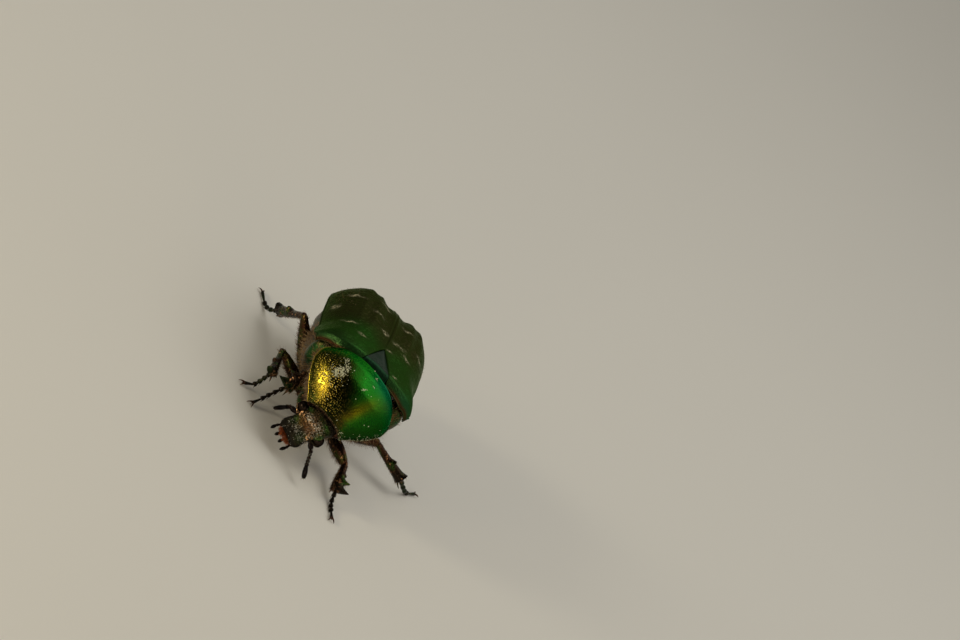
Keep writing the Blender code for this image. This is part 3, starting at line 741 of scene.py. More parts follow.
PRONOTUM_HALF_WIDTH = curve(
    (0, 3.55), (0.12, 3.85), (0.3, 3.88), (0.5, 3.52), (0.7, 2.95), (0.87, 2.3), (1, 1.85)
)
PRONOTUM_CROWN = curve((0, 0.12), (0.2, 0.35), (0.4, 0.35), (0.6, 0.05), (0.8, -0.5), (1, -1.25))
PRONOTUM_MARGIN = curve((0, -1.6), (0.5, -1.85), (1, -2.05))
PROSTERNUM_DEPTH = curve((0, 1.5), (0.25, 2.3), (0.55, 2.4), (0.8, 1.6), (1, 0.7))
PRONOTUM_EDGE = 0.5
CAD_GAP = 0.3
# Lines on the pronotum that its zones follow: where each starts, its slope, and millimetres a step
BAND_START, BAND_SLOPE, BAND_STEP = (-3.0, -2.5), 1.12, 1.5
LANE_START, LANE_SLOPE, LANE_STEP = (0.8, -3.8), 1.85, 2.1


def dome(r, power, fall):
    """0 on the middle line and 1 at the margin, where it falls steeply."""
    return 1 - np.maximum(1 - np.abs(r) ** power, 0.0) ** fall


def pronotum_top(u, v):
    r = 2 * u - 1
    base = -0.05 - 0.5 * r**4
    front = -PRONOTUM_LENGTH - 0.05 * r * r
    margin = PRONOTUM_MARGIN(v)
    z = margin + (PRONOTUM_CROWN(v) - margin) * (1 - dome(r, 2.2, 0.8))
    return np.stack([r * PRONOTUM_HALF_WIDTH(v), base + (front - base) * v, z], -1)


def pronotum_masks(base, side, ahead, holes):
    """The painted golden highlight of the glare, painted golden glints in the pits, painted shade over the
    dark middle, and the amber and teal zones.
    """
    x, y = base[..., 0], base[..., 1]
    band_x, band_y = x - BAND_START[0], y - BAND_START[1]
    across = (band_y + BAND_SLOPE * band_x) / BAND_STEP
    along = (band_x - BAND_SLOPE * band_y) / BAND_STEP
    lane = (y - LANE_START[1] - LANE_SLOPE * (x - LANE_START[0])) / LANE_STEP
    drift = 0.25 * waves(base, 0.9, 6)
    glare = ridge(across + 0.3 * drift, -0.05, 0.27) * ridge(along, 1.2, 1.15)
    # Painted highlight: golden glints in the pits round the glare
    dots = ridge(across, 0.0, 0.7) * ridge(along, 1.5, 2.0) + 0.22 * ridge(across, 0.8, 1.0)
    # Painted shade over the dark middle of the pronotum
    dark = (1 - ease(across + drift, 1.35, 2.8)) * ease(ahead, 0.4, 1.3)
    return {
        # Painted highlight: the golden glare, and a painted golden line along the rim of the right margin
        "gold": 0.80 * glare + 0.8 * ridge(side, 0.04, 0.06) * ease(-x, 1.0, 2.0),
        "dots": ease(holes, 0.45, 0.8) * dots * (0.8 + 0.35 * waves(base, 0.25, 8)),
        # Painted shade on the dark middle and on the lower side
        "olive": np.maximum(0.96 * dark, 0.8 * ridge(side, 0.0, 1.5) * ease(x, 0.0, 1.5)),
        "amber": 0.85 * ridge(lane, 0.0, 0.5) * ease(x, -0.6, 0.4) * (1 - 0.8 * ease(x, 0.8, 1.9)),
        "teal": ease(x, -0.8, 1.6) * (0.9 * ridge(ahead, 0.0, 0.95) + 0.25 * ridge(side, 0.0, 0.4)),
    }


def bead(away, height):
    """A raised rim with a groove behind it, by the distance from the edge."""
    return height * ridge(away, 0.05, 0.05) - 0.03 * ridge(away, 0.17, 0.06)


def make_pronotum(material):
    base = even_grid(pronotum_top, 0.35, 0.5, 381, 201)
    normal = outward(base, 2)
    a, b = lengths(base)
    side = np.minimum(a, a[:, -1:] - a)
    end = np.minimum(b, b[-1:] - b)
    coarse = 0.5 + 0.5 * ease(np.abs(base[..., 0]), 0.8, 2.8)
    holes = pits(a, b, 0.165, 0.058, 3, 0.92) * ease(side, 0.12, 0.3) * ease(end, 0.06, 0.2)
    relief = bead(side, 0.045) - 0.026 * coarse * holes + 0.012 * waves(base, 1.6, 5)
    relief += 0.02 * ridge(end, 0.03, 0.04) - 0.012 * ridge(end, 0.11, 0.04)
    thick = 0.10 + 0.25 * ease(side, 0.05, 0.9) * ease(end, 0.05, 0.7)
    top = base + normal * relief[..., None]
    masks = pronotum_masks(base, side, b, holes)
    piece = Piece("pronotum_skin", *masks)
    piece.add_plate(top, base - normal * thick[..., None], PROTHORAX, **masks)
    piece.make(material, "green_chitin", ["pronotum"])
    return top


def prosternum_rings():
    """The prothorax under the pronotum, from the base to the socket that holds the head."""
    v = np.linspace(0.02, 0.985, 46)[:, None]
    angle = np.linspace(0, 2 * math.pi, 96, endpoint=False)
    r, over = np.cos(angle), np.sin(angle) > 0
    margin = PRONOTUM_MARGIN(v)
    depth = PROSTERNUM_DEPTH(v) + 0.3 + PRONOTUM_EDGE + CAD_GAP
    top = margin + (PRONOTUM_CROWN(v) - margin) * 0.8 * (1 - np.abs(r) ** 2.2) - 0.12
    low = margin - 0.1 - (depth - 0.1) * (1 - np.abs(r) ** 1.35) ** 0.85
    x = r * PRONOTUM_HALF_WIDTH(v) * 0.965 * np.where(over, 0.99, 1 - 0.08 * (1 - np.abs(r)))
    y = -0.1 - 0.45 * r**4 + (-PRONOTUM_LENGTH + 0.1 + 0.45 * r**4) * v
    rings = list(np.stack([x, y, np.where(over, top, low)], -1))
    front = rings[-1]
    for share, depth in ((0.93, 0.0), (0.87, 0.15), (0.8, 0.5), (0.6, 0.9), (0.3, 1.1)):
        rings.append(front.mean(0) + (front - front.mean(0)) * share + np.array((0, depth, 0)))
    return np.array(rings)


# Elytra and scutellum, in the trunk's frame: s runs from the suture to the margin, t to the rear

ELYTRON_HALF_WIDTH = curve(
    (0.0, 4.0), (0.5, 4.5), (1.3, 4.86), (2.2, 4.82), (3.4, 4.58), (5.2, 4.74), (7.2, 4.74),
    (9.0, 4.45), (10.4, 3.65), (11.4, 2.6), (12.2, 1.2),
)
ELYTRON_BASE = curve((0, 0.12), (0.45, 0.08), (0.8, 0.3), (1, 0.95))
ELYTRON_DISC = curve(
    (0, 0.0), (2.6, 0.2), (6, 0.4), (8.4, 0.2), (10, -0.5), (11.2, -1.4), (12.2, -2.6)
)
ELYTRON_FALL = curve(
    (0.1, 1.2), (0.6, 1.7), (1, 2.0), (1.6, 2.4), (3, 2.7), (6, 2.8), (9, 2.5), (10.6, 1.8), (12.2, 0.6)
)
SEAM = 0.025
LIP, LIP_DROP = 0.42, 0.62
APEX_DROP = 0.60
# Raised ribs: their share of the width, and how strong they are
RIBS = ((0.36, 1.0), (0.6, 0.8))


def scutellum_half_width(y):
    return SCUTELLUM_HALF_WIDTH * np.maximum(1 - y / SCUTELLUM_LENGTH, 0.0) ** 0.9 + 0.1


def elytron_top(s, t):
    """The front edge bends down over LIP millimetres, behind the pronotum."""
    base = ELYTRON_BASE(s) - LIP
    y = base + (ELYTRON_LENGTH - 0.8 * s * s - base) * t
    half = ELYTRON_HALF_WIDTH(y)
    beside = (scutellum_half_width(y) + 0.06) * (1 - ease(y, SCUTELLUM_LENGTH, SCUTELLUM_LENGTH + 0.3))
    inner = np.maximum(SEAM, beside)
    x = inner + (half - inner) * s
    z = ELYTRON_DISC(y) - ELYTRON_FALL(y) * dome(x / half, 3.4, 0.75)
    z = z + 0.15 * blob(x, y, (3.7, 1.4), (0.8, 0.8)) + 0.3 * blob(x, y, (2.5, 9.8), (1.1, 1.1))
    bend = np.clip(1 - (y - base) / (LIP + 0.2), 0, 1) ** 2.2
    apex = np.sin(math.pi * np.clip(s, 0, 1) ** 1.5) * ease(t, 0.86, 1.0) ** 1.5
    return np.stack([x, y, z - 0.12 * ridge(x, 0.0, 0.7) - LIP_DROP * bend - APEX_DROP * apex], -1)


# Pale flecks of the wing cases: side (1 left, -1 right), x and y, half width and half length
FLECKS = (
    (1, 0.95, 4.3, 0.42, 0.13), (1, 1.9, 3.75, 0.35, 0.12), (1, 0.4, 2.95, 0.22, 0.10),
    (-1, 3.2, 3.2, 0.34, 0.14), (-1, 2.1, 2.1, 0.30, 0.11), (-1, 0.55, 4.4, 0.34, 0.12),
    (1, 1.6, 0.5, 0.22, 0.10), (1, 3.1, 5.6, 0.40, 0.13), (-1, 1.5, 6.1, 0.42, 0.12),
    (1, 1.2, 7.3, 0.50, 0.12), (-1, 1.1, 8.1, 0.48, 0.12), (1, 3.4, 8.3, 0.42, 0.14),
    (-1, 3.5, 7.2, 0.45, 0.13), (1, 0.8, 9.6, 0.40, 0.11), (-1, 0.7, 10.1, 0.36, 0.11),
    (1, 4.3, 6.6, 0.14, 0.30), (-1, 4.35, 5.4, 0.14, 0.28), (1, 4.0, 9.4, 0.16, 0.26),
    (-1, 3.9, 9.6, 0.16, 0.28), (1, 2.2, 11.0, 0.34, 0.10), (-1, 2.1, 11.1, 0.34, 0.10),
)


def make_elytron(name, side, material):
    base = even_grid(elytron_top, 0.45, 0.5, 221, 381)
    x, y = base[..., 0], base[..., 1]
    normal = outward(base, 2)
    a, b = lengths(base)
    edge = np.minimum(a[:, -1:] - a, np.minimum(b, b[-1:] - b) + 0.04)
    share = x / ELYTRON_HALF_WIDTH(y)
    rear = ease(y, 3.2, 5.0) * (1 - ease(y, 10.4, 11.3))
    relief = 0.07 * ridge(x, 0.16, 0.14) * ease(y, 2.8, 4.5)
    relief -= 0.13 * ridge(x, 0.85, 0.42) * ease(y, 4.2, 6.5) * (1 - ease(y, 10.2, 11.2))
    relief += 0.055 * rear * sum(strong * ridge(share, place, 0.045) for place, strong in RIBS)
    relief -= 0.05 * rear * ridge(share, 0.48, 0.06)
    lines = np.sin(2 * math.pi * (b * 4.2 + 0.35 * np.sin(a * 5.1)))
    relief += 0.008 * lines * ease(share, 0.75, 0.95) * ease(y, 6.5, 9.0)
    inside = ease(edge, 0.10, 0.3) * ease(x, 0.22, 0.45)
    rows = pits(a, b, 0.36, 0.125, 11 + side, 0.85, horseshoe=True)
    small = pits(a, b, 0.21, 0.055, 17 + side, 0.7)
    relief -= inside * (0.026 * rows * (0.6 + 0.6 * ease(y, 2, 6)) + 0.014 * small)
    relief += bead(edge, 0.04)
    relief += 0.015 * waves(base, 2.2, 7 + side)
    thick = 0.12 + 0.2 * ease(edge, 0.05, 0.9)
    top = base + normal * relief[..., None]
    under = base - normal * thick[..., None]
    under[..., 0] = np.maximum(under[..., 0], top[..., 0] * (top[..., 0] < 0.4))
    pale = np.zeros(x.shape)
    for which, cx, cy, rx, ry in FLECKS:
        if which == side:
            px, py = x + 0.10 * waves(base, 0.7, 61), y + 0.13 * waves(base, 0.55, 62)
            pale = np.maximum(pale, blob(px, py, (cx, cy), (rx, ry)))
    brown = 0.2 + 0.72 * ease(y, 1.6, 5.5) + 0.25 * ridge(edge, 0.0, 0.4)
    brown = brown - 0.6 * blob(x, y, (2.6, 2.0), (1.6, 1.7))
    masks = {
        "pale": pale,
        "brown": np.minimum(brown, 0.9),
        "teal": 0.15 * ridge(edge, 0.0, 0.9) + (0.25 if side > 0 else 0.0) * ease(share, 0.5, 0.95),
        "rust": 0.85 * ridge(b, 0.12, 0.16) * ease(share, 0.35, 0.6),
    }
    piece = Piece("elytron_skin_" + name, *masks)
    mirror = np.array([side, 1.0, 1.0])
    piece.add_plate(top * mirror, under * mirror, TRUNK, **masks)
    piece.make(material, "green_chitin", ["elytron_" + name])
    return top * mirror


def make_scutellum(material):
    u, v = np.meshgrid(np.linspace(0, 1, 73), np.linspace(0, 1, 81))
    y = -0.32 + (SCUTELLUM_LENGTH + 0.28) * v
    r = 2 * u - 1
    half = scutellum_half_width(np.maximum(y, 0)) - 0.02
    x = r * half
    side = half - np.abs(x)
    bend = np.clip((0.25 - y) / 0.57, 0, 1) ** 2.2
    z = 0.03 - 0.1 * r * r + 0.02 * ridge(side, 0.06, 0.05) - 0.5 * bend
    base = np.stack([x, y, z], -1)
    inside = ease(side, 0.1, 0.25) * ease(1.2 - y, 0, 0.8)
    z = z - 0.02 * inside * pits(x + 5, y + 5, 0.2, 0.06, 23, 0.7)
    top = np.stack([x, y, z + 0.008 * waves(base, 0.9, 4)], -1)
    piece = Piece("scutellum_skin")
    piece.add_plate(top, base - np.array([0, 0, 0.3]), TRUNK, bulge=0.25)
    piece.make(material, "slate_chitin", ["scutellum"])


# Trunk under the wing cases

BRONZE_MASKS = ("dark", "warm", "pale")

TRUNK_HALF = curve(
    (-0.9, 2.6), (-0.2, 3.3), (0.4, 3.6), (1.1, 3.8), (2.3, 4.05), (5.6, 4.2), (7.6, 4.2), (9.2, 3.9),
    (10.5, 3.2), (11.3, 2.3), (11.8, 1.5),
)
TRUNK_SIDE = curve(
    (-0.9, -3.0), (0.2, -2.7), (1.1, -3.2), (2.3, -3.9), (9.2, -3.95), (11.3, -4.2), (11.8, -4.3)
)
TRUNK_TOP = curve(
    (-0.9, -1.9), (0.4, -1.3), (2.3, -1.1), (7.6, -1.1), (9.2, -1.4), (10.5, -2.2), (11.3, -3.1),
    (11.8, -3.6),
)
TRUNK_BOTTOM = curve(
    (-0.9, -4.4), (0.4, -5.0), (1.1, -5.9), (2.3, -6.4), (3.8, -6.5), (7.6, -6.4), (9.2, -6.2),
    (10.5, -5.9), (11.3, -5.5), (11.8, -5.2),
)
SEGMENT_ENDS = (5.75, 6.9, 7.95, 8.95, 9.95, 10.9)
SEGMENT_STEP = 0.11


def trunk_rings(start, stop, rows):
    """Rings of the thorax or abdomen, with their angle and place along the body."""
    y = np.linspace(start, stop, rows)[:, None]
    angle = turns(150)[None, :]
    c, s = np.cos(angle), np.sin(angle)
    half, side, top, bottom = (f(y) for f in (TRUNK_HALF, TRUNK_SIDE, TRUNK_TOP, TRUNK_BOTTOM))
    x = half * np.sign(c) * np.abs(c) ** np.where(s > 0, 1.3, 0.9)
    reach = np.where(s > 0, top - side, side - bottom)
    z = side + reach * np.sign(s) * np.abs(s) ** 0.9
    return np.stack(np.broadcast_arrays(x, y, z), -1), angle + 0 * y, y + 0 * angle


def make_thorax(material):
    rings, angle, y = trunk_rings(-0.9, 5.7, 90)
    normal = outward(rings)
    x, s = rings[..., 0], np.sin(angle)
    a, b = lengths(rings)
    under = ease(-s, 0.0, 0.3)
    relief = -0.02 * pits(a, b, 0.23, 0.075, 31, 0.9)
    relief -= 0.10 * under * ridge(x, 0.0, 0.12) * ease(y, 2.2, 2.8)
    relief -= 0.07 * under * ridge(np.abs(x) - 0.16 * (y - 2.4), 3.0, 0.09)
    relief -= 0.06 * under * ridge(y - 0.12 * np.abs(x), 1.9, 0.1) * ease(np.abs(x), 0.9, 1.3)
    relief += 0.03 * waves(rings, 1.4, 33)
    skin = rings + normal * relief[..., None]
    piece = Piece("thorax_skin", *BRONZE_MASKS)
    piece.add_loft(skin, TRUNK, warm=0.5 * ridge(y, -0.2, 0.9))
    knob = ball((0, 0.95, -5.75), (0.42, 0.6, 0.4), 32, 20)
    piece.add_loft(knob, TRUNK)
    piece.make(material, "bronze_chitin", ["thorax"])
    return skin


def make_abdomen(material):
    rings, angle, y = trunk_rings(5.5, 11.75, 110)
    normal = outward(rings)
    x, s = rings[..., 0], np.sin(angle)
    a, b = lengths(rings)
    step = np.zeros(y.shape)
    for start, stop in zip(SEGMENT_ENDS, SEGMENT_ENDS[1:] + (12.4,)):
        t = np.clip((y - start) / (stop - start), 0, 1)
        rise = SEGMENT_STEP * (t - 0.4) * (1 - ease(t, 0.93, 1.0))
        step += np.where((y >= start) & (y < stop), rise, 0)
    relief = step * ease(-s, -0.6, -0.1) - 0.018 * pits(a, b, 0.26, 0.08, 37, 0.75)
    relief += 0.02 * waves(rings, 1.5, 39)
    relief -= 0.10 * ridge(x, 0, 0.5) * ease(-s, 0.4, 0.8) * (1 - ease(y, 9.0, 10.5))
    skin = rings + normal * relief[..., None]
    spots = np.zeros(y.shape)
    for start, stop in zip(SEGMENT_ENDS, SEGMENT_ENDS[1:]):
        spots = np.maximum(spots, ridge(y, (start + stop) / 2 + 0.1, 0.22) * ridge(s, -0.28, 0.12))
    piece = Piece("abdomen_skin", *BRONZE_MASKS)
    piece.add_loft(skin, TRUNK, pale=spots * 1.2, dark=0.4 * ease(s, 0, 0.4))
    piece.make(material, "bronze_chitin", ["abdomen"])
    return skin


# Pale spots on both sides of the pygidium: x and z, then half width and half height
PYGIDIUM_SPOTS = (((1.15, -3.75), (0.26, 0.16)), ((0.5, -4.55), (0.2, 0.14)))


def make_pygidium(material):
    """The last plate, which faces back and down below the ends of the wing cases."""
    u, v = np.meshgrid(np.linspace(0, 1, 93), np.linspace(0, 1, 61))
    r = 2 * u - 1
    half = 2.15 * (1 - v) ** 0.7 + 0.55
    y = 11.35 + 0.95 * np.sin(math.pi * (0.2 + 0.65 * v)) - 0.7 * r * r
    base = np.stack([r * half, y, -3.0 - 2.4 * v], -1)
    normal = outward(base, 1)
    a, b = lengths(base)
    arcs = np.sin(2 * math.pi * (b * 6 + 1.2 * np.cos(a * 1.3)))
    relief = 0.012 * arcs - 0.02 * pits(a, b, 0.2, 0.07, 41, 0.8)
    top = base + normal * relief[..., None]
    x, z = base[..., 0], base[..., 2]
    spots = sum(blob(np.abs(x), z, *spot) for spot in PYGIDIUM_SPOTS)
    piece = Piece("pygidium_skin", *BRONZE_MASKS)
    piece.add_plate(top, base - normal * 0.35, TRUNK, pale=1.3 * spots)
    piece.make(material, "bronze_chitin", ["pygidium"])
    return top


def make_mesepimeron(name, side, material):
    """The side plate that shows from above between the pronotum and the wing case's shoulder."""
    middle = np.array((side * 3.40, 0.70, -2.82))
    rings = ball(middle, (1.08, 0.88, 1.38), 56, 36)
    normal = unit(rings - middle)
    a, b = np.arctan2(normal[..., 1], normal[..., 0]), normal[..., 2]
    relief = -0.03 * pits(a, b * 1.1, 0.2, 0.07, 43) + 0.04 * waves(rings, 0.9, 44)
    skin = rings + normal * relief[..., None]
    piece = Piece("mesepimeron_skin_" + name, *BRONZE_MASKS)
    warm = 0.8 * blob(rings[..., 0] * side, rings[..., 2], (3.0, -2.2), (0.6, 0.6))
    piece.add_loft(skin, TRUNK, warm=warm)
    piece.make(material, "green_chitin", ["mesepimeron_" + name])
    return skin


# Head, in its own frame: y runs from the nape to the front of the clypeus, at the lowest value

HEAD_HALF_WIDTH = curve(
    (-2.56, 0.84), (-2.52, 0.98), (-2.44, 1.08), (-2.3, 1.15), (-2.0, 1.16), (-1.5, 1.08), (-1.15, 1.13),
    (-0.6, 1.38), (0.1, 1.42), (0.6, 1.5), (1.0, 1.5), (1.5, 1.4),
)
HEAD_TOP = curve(
    (-2.56, -0.12), (-2.35, -0.05), (-1.7, -0.12), (-1.0, 0.0), (-0.3, 0.04), (0.8, 0.0), (1.5, -0.1)
)
HEAD_UNDER = curve(
    (-2.56, -0.45), (-2.1, -0.55), (-1.5, -0.95), (-0.7, -1.5), (0.1, -1.6), (0.8, -1.3), (1.5, -1.1)
)
BROW_HEIGHT = 0.21
# The bar that crosses each eye, from the head's side outwards
CANTHUS = ((0.98, -1.15, -0.24), (1.35, -1.04, -0.30), (1.66, -0.82, -0.42), (1.8, -0.58, -0.52))


def head_rings():
    """The head's skin, with the angle of each point: a quarter turn is the middle of the top."""
    front = CLYPEUS_FRONT + 0.42 * (1 - np.cos(np.linspace(0, math.pi / 2, 22)))
    y = np.concatenate([front, np.linspace(front[-1] + 0.025, 1.3, 150)])[:, None]
    angle = turns(264)[None, :]
    c, s = np.cos(angle), np.sin(angle)
    half, top, under = HEAD_HALF_WIDTH(y), HEAD_TOP(y), HEAD_UNDER(y)
    side = top - 0.42 * (top - under)
    flat = 0.85 - 0.25 * (1 - ease(y, -2.0, -0.6))
    x = half * np.sign(c) * np.abs(c) ** 0.8
    z = side + np.where(s > 0, (top - side), (side - under)) * np.sign(s) * np.abs(s) ** flat
    return np.stack(np.broadcast_arrays(x, y, z), -1), angle + 0 * y


# Blurred spots on the head's top, by mask: strength, then x and y, half width and half length
HEAD_SPOTS = {
    # Painted shade behind the right eye and at the back of the head
    "dark": ((1.0, (-1.25, 0.15), (0.55, 0.35)), (0.5, (-0.2, 0.2), (0.4, 0.25))),
    "warm": ((0.9, (0.3, -0.95), (0.42, 0.3)), (0.5, (-0.5, -1.1), (0.35, 0.3))),
    "green": (
        (1.0, (-0.93, -0.1), (0.28, 0.22)), (1.0, (0.75, 0.3), (0.38, 0.28)),
        (1.0, (1.13, -0.5), (0.22, 0.3)), (0.7, (0.6, -1.75), (0.35, 0.35)),
        (0.7, (-0.75, -1.5), (0.3, 0.4)), (0.5, (0.0, 0.25), (0.3, 0.2)),
    ),
    # Painted coppery highlights by the eyes, on the keel and over the frons
    "glint": (
        (1.3, (-1.02, -0.88), (0.26, 0.2)), (1.0, (0.95, -1.2), (0.24, 0.2)),
        (0.9, (-0.05, -0.6), (0.36, 0.16)), (0.45, (0.1, -0.4), (0.9, 0.5)),
    ),
    "pale": (
        (1.4, (-0.41, -0.48), (0.25, 0.2)), (0.75, (0.55, -0.25), (0.36, 0.3)),
        (0.4, (0.2, -0.45), (0.4, 0.16)), (0.32, (-0.1, -1.72), (0.6, 0.22)),
        (0.25, (0.75, -1.2), (0.4, 0.4)),
    ),
}


def make_head(material):
    rings, angle = head_rings()
    normal = outward(rings)
    x, y, s = rings[..., 0], rings[..., 1], np.sin(angle)
    half = HEAD_HALF_WIDTH(y)
    over = ease(s, 0.05, 0.5)
    clypeus = 1 - ease(y, -1.7, -1.2)
    a, b = lengths(rings)
    from_side = half - np.abs(x)
    from_front = y - CLYPEUS_FRONT
    rim = ridge(from_side, 0.05, 0.07) * clypeus + ridge(from_front, 0.05, 0.08)
    dish = clypeus * ease(from_side, 0.1, 0.4) * ease(from_front, 0.15, 0.5)
    keel = ridge(x, 0, 0.13) * ease(y, -2.3, -1.9) * (1 - ease(y, -0.6, 0.0))
    hollows = ridge(np.abs(x), 0.5, 0.25) * ridge(y, -1.25, 0.5)
    brow = ridge(from_side, 0.22, 0.17) * ridge(y, -0.45, 0.55) * np.where(x > 0, 1.35, 0.5)
    bare = np.clip(keel * 1.3, 0, 1)
    holes = pits(a, b, 0.165, 0.068, 51, 0.95)
    relief = over * (0.09 * rim - 0.09 * dish + 0.05 * keel - 0.08 * hollows + BROW_HEIGHT * brow)
    relief -= 0.040 * (1 - bare) * holes * (0.35 + 0.65 * over)
    relief -= 0.05 * over * ridge(y + 0.10 * np.abs(x), -1.45, 0.05) * (1 - bare)
    relief += 0.015 * waves(rings, 0.8, 53)
    skin = rings + normal * relief[..., None]
    skin[..., 1] += 0.10 * ridge(x, 0, 0.38) * (1 - ease(from_front, 0.0, 0.35))
    masks = {}
    for mask, spots in HEAD_SPOTS.items():
        masks[mask] = over * sum(share * blob(x, y, centre, radii) for share, centre, radii in spots)
    # Painted shade under the head and on the nape under the pronotum; darker clypeus and rim
    masks["dark"] += 0.55 * clypeus * over + 0.5 * ease(-s, 0, 0.3) + 0.9 * ease(y, 0.3, 0.6) + rim
    masks["pale"] *= 1.15 * ease(holes, 0.12, 0.45)
    piece = Piece("head_skin", *masks)
    piece.add_loft(skin, HEAD, **{mask: np.clip(values, 0, 1) for mask, values in masks.items()})
    for side in (-1, 1):
        path = smooth_path([(side * cx, cy, cz) for cx, cy, cz in CANTHUS], 22)
        t = np.linspace(0, 1, 22)
        thick = 0.13 * round_ends(t, 0.2, 0.3) * (1 - 0.35 * t)
        rings = sweep(path, (0, 0, 1), thick * 0.7, thick * 0.7, thick, 20)
        # The right bar carries a painted coppery highlight
        piece.add_loft(rings, HEAD, dark=0.7, glint=0.5 if side < 0 else 0.0)
    piece.make(material, "bronze_chitin", ["head"])
    return skin


def make_eye(name, side, material):
    x, y, z = EYE_CENTRE
    piece = Piece("eye_globe_" + name)
    piece.add_loft(ball((side * (x - 0.02), y, z - EYE_DROP[name]), EYE_RADII, 72, 48), HEAD)
    piece.make(material, "eye", ["eye_" + name])


ANTENNA_JOINTS = {
    "left": ((1.0, -1.12, -0.4), (1.75, -1.3, -0.3), (2.70, -2.18, -0.12), (3.5, -2.8, 0.0)),
    "right": ((-1.0, -1.12, -0.4), (-1.74, -1.4, -0.3), (-1.85, -1.75, -0.1), (-2.15, -2.75, 0.15)),
}


def make_antenna(name, material):
    """Scape, pedicel, the beads of the funicle and the club of three leaves, held almost shut."""
    root, elbow, neck, tip = (np.array(p) for p in ANTENNA_JOINTS[name])
    piece = Piece("antenna_skin_" + name, "warm")
    joint(piece, root, elbow, (0.08, 0.13, 0.21, 0.16), HEAD, rows=20, warm=0.3)
    stem = neck - elbow
    beads = 5
    for k in range(beads):
        start = elbow + stem * (k - 0.1) / beads
        stop = elbow + stem * (k + 1.02) / beads
        radii = (0.09, 0.17, 0.14) if k == 0 else (0.07, 0.14 + 0.01 * k, 0.1)
        joint(piece, start, stop, radii, HEAD, warm=0.9 - 0.12 * k)
    ahead = unit(tip - neck)
    stack = unit(np.cross(ahead, (0.15, 0.1, 1.0)))
    broad = np.cross(stack, ahead)
    for k in (-1, 0, 1):
        base = neck - ahead * 0.08 + stack * 0.05 * k
        bend = base + ahead * 0.5 * np.linalg.norm(tip - neck) + stack * 0.055 * k
        end = tip + stack * 0.05 * k - ahead * 0.06 * abs(k)
        path = smooth_path([base, bend, end], 26)
        t = np.linspace(0, 1, 26)
        wide = curve((0, 0.08), (0.25, 0.17), (0.6, 0.25), (0.88, 0.21), (1, 0.1))(t)
        wide = wide * round_ends(t, 0.12, 0.16)
        thin = 0.07 * round_ends(t, 0.1, 0.12)
        piece.add_loft(sweep(path, broad, wide, wide, thin, 22), HEAD)
    piece.make(material, "black_chitin", ["antenna_" + name])


PALPS = {
    "maxillary_palp_left": ((0.7, -2.2, -0.95), (0.78, -3.4, -0.6), (0.12, 0, -0.1)),
    "maxillary_palp_right": ((-0.7, -2.2, -0.95), (-0.93, -3.35, -0.6), (-0.12, 0, -0.1)),
    "labial_palp_left": ((0.22, -2.5, -1.0), (0.22, -3.25, -0.75), (0, 0, -0.05)),
    "labial_palp_right": ((-0.3, -2.5, -1.0), (-0.36, -3.25, -0.75), (0, 0, -0.05)),
}


def make_palp(name, material):
    root, tip, bend = (np.array(p, float) for p in PALPS[name])
    path = smooth_path([root, (root + tip) / 2 + bend, tip], 41)
    joints = ((0, 13), (12, 22), (21, 40)) if "maxillary" in name else ((0, 18), (17, 40))
    piece = Piece(name + "_skin", "warm")
    for start, stop in joints:
        last = stop == 40
        radii = (0.07, 0.13, 0.12, 0.05) if last else (0.06, 0.10, 0.11)
        joint(piece, path[start], path[stop], radii, HEAD, warm=0.0 if last else 0.7)
    piece.make(material, "black_chitin", [name])


def make_mouthparts(material):
    """Mentum, maxillae and the labrum's edge, under the clypeus."""
    piece = Piece("mouthparts_skin", *BRONZE_MASKS)
    joint(piece, (0, -0.7, -1.5), (0, -2.35, -1.25), (0.55, 0.62, 0.45), HEAD, flat=1.0, hint=(1, 0, 0),
          sides=28, rows=26, warm=0.6)
    for side in (-1, 1):
        joint(piece, (side * 0.62, -0.9, -1.25), (side * 0.5, -2.55, -0.85), (0.22, 0.34, 0.3, 0.16), HEAD,
              hint=(1, 0, 0), sides=24, rows=24, warm=0.9)
        joint(piece, (side * 0.3, -1.9, -0.85), (side * 0.26, -2.62, -0.62), (0.2, 0.27, 0.2), HEAD,
              hint=(1, 0, 0), flat=0.6, sides=20, rows=18, warm=1.0)
    piece.make(material, "orange_brush", ["mouthparts"])


# Legs: joints are over the floor, X to the left and Y to the rear of the scutellum's base

